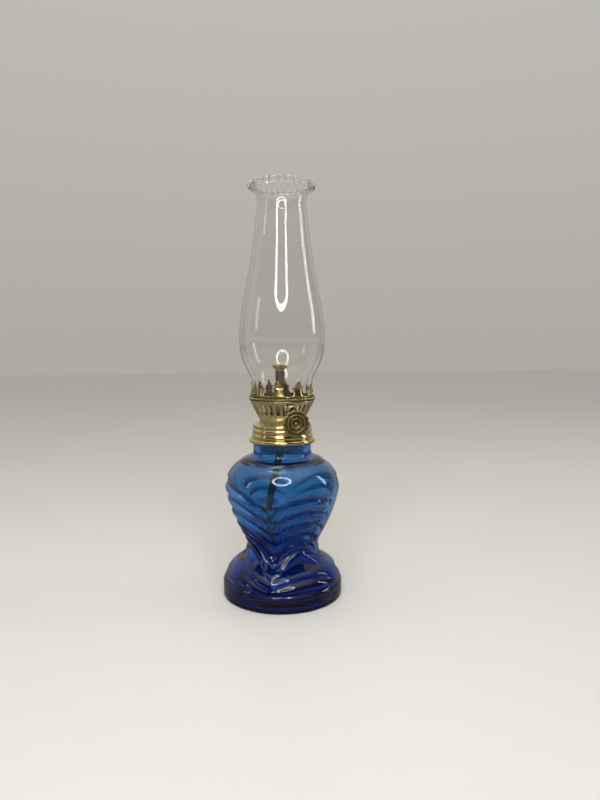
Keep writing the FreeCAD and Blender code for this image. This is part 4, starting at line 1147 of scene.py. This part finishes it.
chance = random.Random(7)
tuft_rows, tuft_columns = 16, 48
tuft_across, tuft_along = 2.75, 5.25
tuft_vertices = []
for row in range(tuft_rows + 1):
    rise = row / tuft_rows
    flare = 0.80 + 0.42 * min(rise / 0.55, 1.0) - 1.1 * max(rise - 0.72, 0.0)
    for column in range(tuft_columns):
        angle = math.tau * column / tuft_columns
        ragged = 1.0 + chance.uniform(-0.13, 0.13) * (0.3 + rise)
        across = squared(math.cos(angle)) * tuft_across * flare * ragged
        along = squared(math.sin(angle)) * tuft_along * min(flare, 1.12) * ragged
        up = 1.7 * rise + 0.40 * chance.uniform(-1, 1) * rise
        tuft_vertices.append((wick_middle + across * MM, along * MM, tuft_low + up * MM))
tuft_faces = skin(tuft_rows + 1, tuft_columns)
tuft_faces.append(tuple(reversed(range(tuft_columns))))
crown_start = tuft_rows * tuft_columns
centre = len(tuft_vertices)
tuft_vertices.append((wick_middle, 0.0, wick_top - 0.3 * MM))
for column in range(tuft_columns):
    tuft_faces.append((crown_start + column, crown_start + (column + 1) % tuft_columns, centre))
tuft = new_piece("tuft", tuft_vertices, tuft_faces, charred)
face_outwards(tuft)

fibre_tree, given, result = new_tree("wick_fibres", [
    ("Density", "NodeSocketFloat", 9.0e6),
    ("Seed", "NodeSocketInt", 3),
    ("Fibre", "NodeSocketObject", None),
    ("Lowest", "NodeSocketFloat", tuft_low + 1.0 * MM),
    ("Cotton", "NodeSocketMaterial", None),
])
where = node(fibre_tree, "ShaderNodeSeparateXYZ", {
    "Vector": fibre_tree.nodes.new("GeometryNodeInputPosition").outputs[0]})
high_enough = maths(fibre_tree, "GREATER_THAN", where.outputs["Z"], given.outputs["Lowest"])
points = node(fibre_tree, "GeometryNodeDistributePointsOnFaces", {
    "Mesh": given.outputs["Geometry"], "Selection": high_enough,
    "Density": given.outputs["Density"], "Seed": given.outputs["Seed"],
})
wild = node(fibre_tree, "FunctionNodeRandomValue", {
    "Min": (-0.7, -0.7, -3.1), "Max": (0.7, 0.7, 3.1), "Seed": given.outputs["Seed"],
}, data_type="FLOAT_VECTOR")
upright = node(fibre_tree, "FunctionNodeEulerToRotation", {0: wild.outputs[0]})
length = node(fibre_tree, "FunctionNodeRandomValue", {
    "Min": 0.45, "Max": 1.0, "Seed": given.outputs["Seed"],
})
one_fibre = node(fibre_tree, "GeometryNodeObjectInfo", {"Object": given.outputs["Fibre"]})
strands = node(fibre_tree, "GeometryNodeInstanceOnPoints", {
    "Points": points.outputs["Points"], "Instance": one_fibre.outputs["Geometry"],
    "Rotation": upright.outputs[0],
    "Scale": length.outputs["Value"],
})
both = node(fibre_tree, "GeometryNodeJoinGeometry")
fibre_tree.links.new(strands.outputs[0], both.inputs[0])
fibre_tree.links.new(given.outputs["Geometry"], both.inputs[0])
solid = node(fibre_tree, "GeometryNodeRealizeInstances", {0: both.outputs[0]})
finish = node(fibre_tree, "GeometryNodeSetMaterial", {
    0: solid.outputs[0], "Material": given.outputs["Cotton"],
})
fibre_tree.links.new(finish.outputs[0], result.inputs[0])

fibre_vertices = []
for level in range(5):
    rise = level / 4
    for step in range(3):
        angle = math.tau * step / 3
        thin = 0.045 * (1 - 0.7 * rise) * MM
        fibre_vertices.append((thin * math.cos(angle) + 0.18 * MM * rise * rise,
                               thin * math.sin(angle), (1.05 * rise - 0.35) * MM))
fibre_faces = skin(5, 3) + [(2, 1, 0), (12, 13, 14)]
fibre = new_piece("fibre", fibre_vertices, fibre_faces, charred)
settle(tuft, fibre_tree, {"Fibre": fibre, "Cotton": charred})
bpy.data.objects.remove(fibre)
wick = joined_piece("wick_strip", [stem, tuft])
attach(wick, "wick")
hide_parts("wick")


# ---------------------------------------------------------------- chimney
# Blown clear glass: a fitter that stands on the draught plate inside the prongs, a round bulge
# and a long tapering neck. Its flared mouth is crimped in a ring of fused glass beads.
clear_glass, tree, shader = new_material("clear_glass_blown")
place = node(tree, "ShaderNodeTexCoord").outputs["Object"]
stretch = node(tree, "ShaderNodeMapping", {"Vector": place, "Scale": (1.0, 1.0, 0.28)})
swirl = node(tree, "ShaderNodeTexNoise", {
    "Vector": stretch.outputs[0], "Scale": 60.0, "Detail": 1.0,
}).outputs["Fac"]
press(tree, shader, swirl, 0.2, 0.4)
faint = blend(tree, swirl, (0.945, 0.950, 0.938, 1), (0.965, 0.965, 0.958, 1))
# Painted shade: where the wall turns away from the view, the glass's colour darkens to grey, in place of the
# darker look that the longer path through the glass gives its edges.
edge_painted_shade = ramp(tree, node(tree, "ShaderNodeLayerWeight", {"Blend": 0.5}).outputs["Facing"], 0.45, 0.98)
tree.links.new(blend(tree, edge_painted_shade, faint, (0.42, 0.43, 0.40, 1)), shader.inputs["Base Color"])
range_to(tree, shader.inputs["Roughness"], swirl, 0.0, 0.02)
shader.inputs["Transmission Weight"].default_value = 1.0
shader.inputs["IOR"].default_value = 1.47

chimney_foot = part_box("glass_chimney")[0].z / MM
bead_circle, bead_radius = 16.15, 1.95
bead_level = chimney_foot + 112.05
bead_count = 26
fitter = (15.3, chimney_foot)
fitter_top = (15.9, chimney_foot + 8.1)
bulge_foot = (19.0, chimney_foot + 16.0)
bulge = (23.05, chimney_foot + 30.5)
bulge_top = (20.6, chimney_foot + 53.6)
throat_start = (14.1, chimney_foot + 94.0)
throat = (13.2, chimney_foot + 101.0)
mouth = (bead_circle - 1.0, bead_level - 1.67)
in_mouth = (bead_circle - 1.91, bead_level - 0.4)


def inside(point, slope=0.0, wall=1.7):
    return (point[0] - wall, point[1] + wall * slope)


bead_turn = [239 + 312 * step / 30 for step in range(31)]
chimney_line = (
    run_up(fitter, fitter_top, 12)
    + arc(fitter_top, bulge_foot, 3.6, "right", 14)
    + arc(bulge_foot, bulge, 2.1, "left", 24)
    + arc(bulge, bulge_top, 4.7, "left", 26)
    + arc(bulge_top, throat_start, 9.5, "right", 30)
    + run_up(throat_start, throat, 6)
    + arc(throat, mouth, 1.25, "right", 16)
    + [(bead_circle + bead_radius * math.cos(math.radians(turn)),
        bead_level + bead_radius * math.sin(math.radians(turn))) for turn in bead_turn]
    + arc(in_mouth, inside(throat, 0.1), 1.25, "left", 14)[1:]
    + run_up(inside(throat, 0.1), inside(throat_start), 6)
    + arc(inside(throat_start), inside(bulge_top), 9.5, "left", 30)
    + arc(inside(bulge_top), inside(bulge), 4.7, "right", 26)
    + arc(inside(bulge), inside(bulge_foot, 0.4), 2.1, "right", 24)
    + arc(inside(bulge_foot, 0.4), inside(fitter_top, 0.1), 3.6, "left", 14)
    + run_up(inside(fitter_top, 0.1), inside(fitter), 10)
    + [inside(fitter)]
)
bead_sizes = [0.74 + 0.26 * random.Random(40 + bead).random() for bead in range(bead_count)]


def beaded(radius, height, angle):
    """Swells the mouth's round edge into fused beads, none quite like the next."""
    across = radius - bead_circle
    up = height - bead_level
    away = math.hypot(across, up)
    if away > bead_radius * 1.02 or up < -bead_radius * 0.96:
        return radius, height
    bead = bead_count * angle / math.tau
    lobe = abs(math.sin(math.pi * bead)) ** 0.6
    share = 0.34 + 0.66 * lobe * bead_sizes[int(bead) % bead_count]
    return bead_circle + across * share, bead_level + up * share


chimney_columns = 352
chimney = lathe("chimney_glass", chimney_line, chimney_columns, clear_glass, swell=beaded)
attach(chimney, "chimney")
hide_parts("glass_chimney")
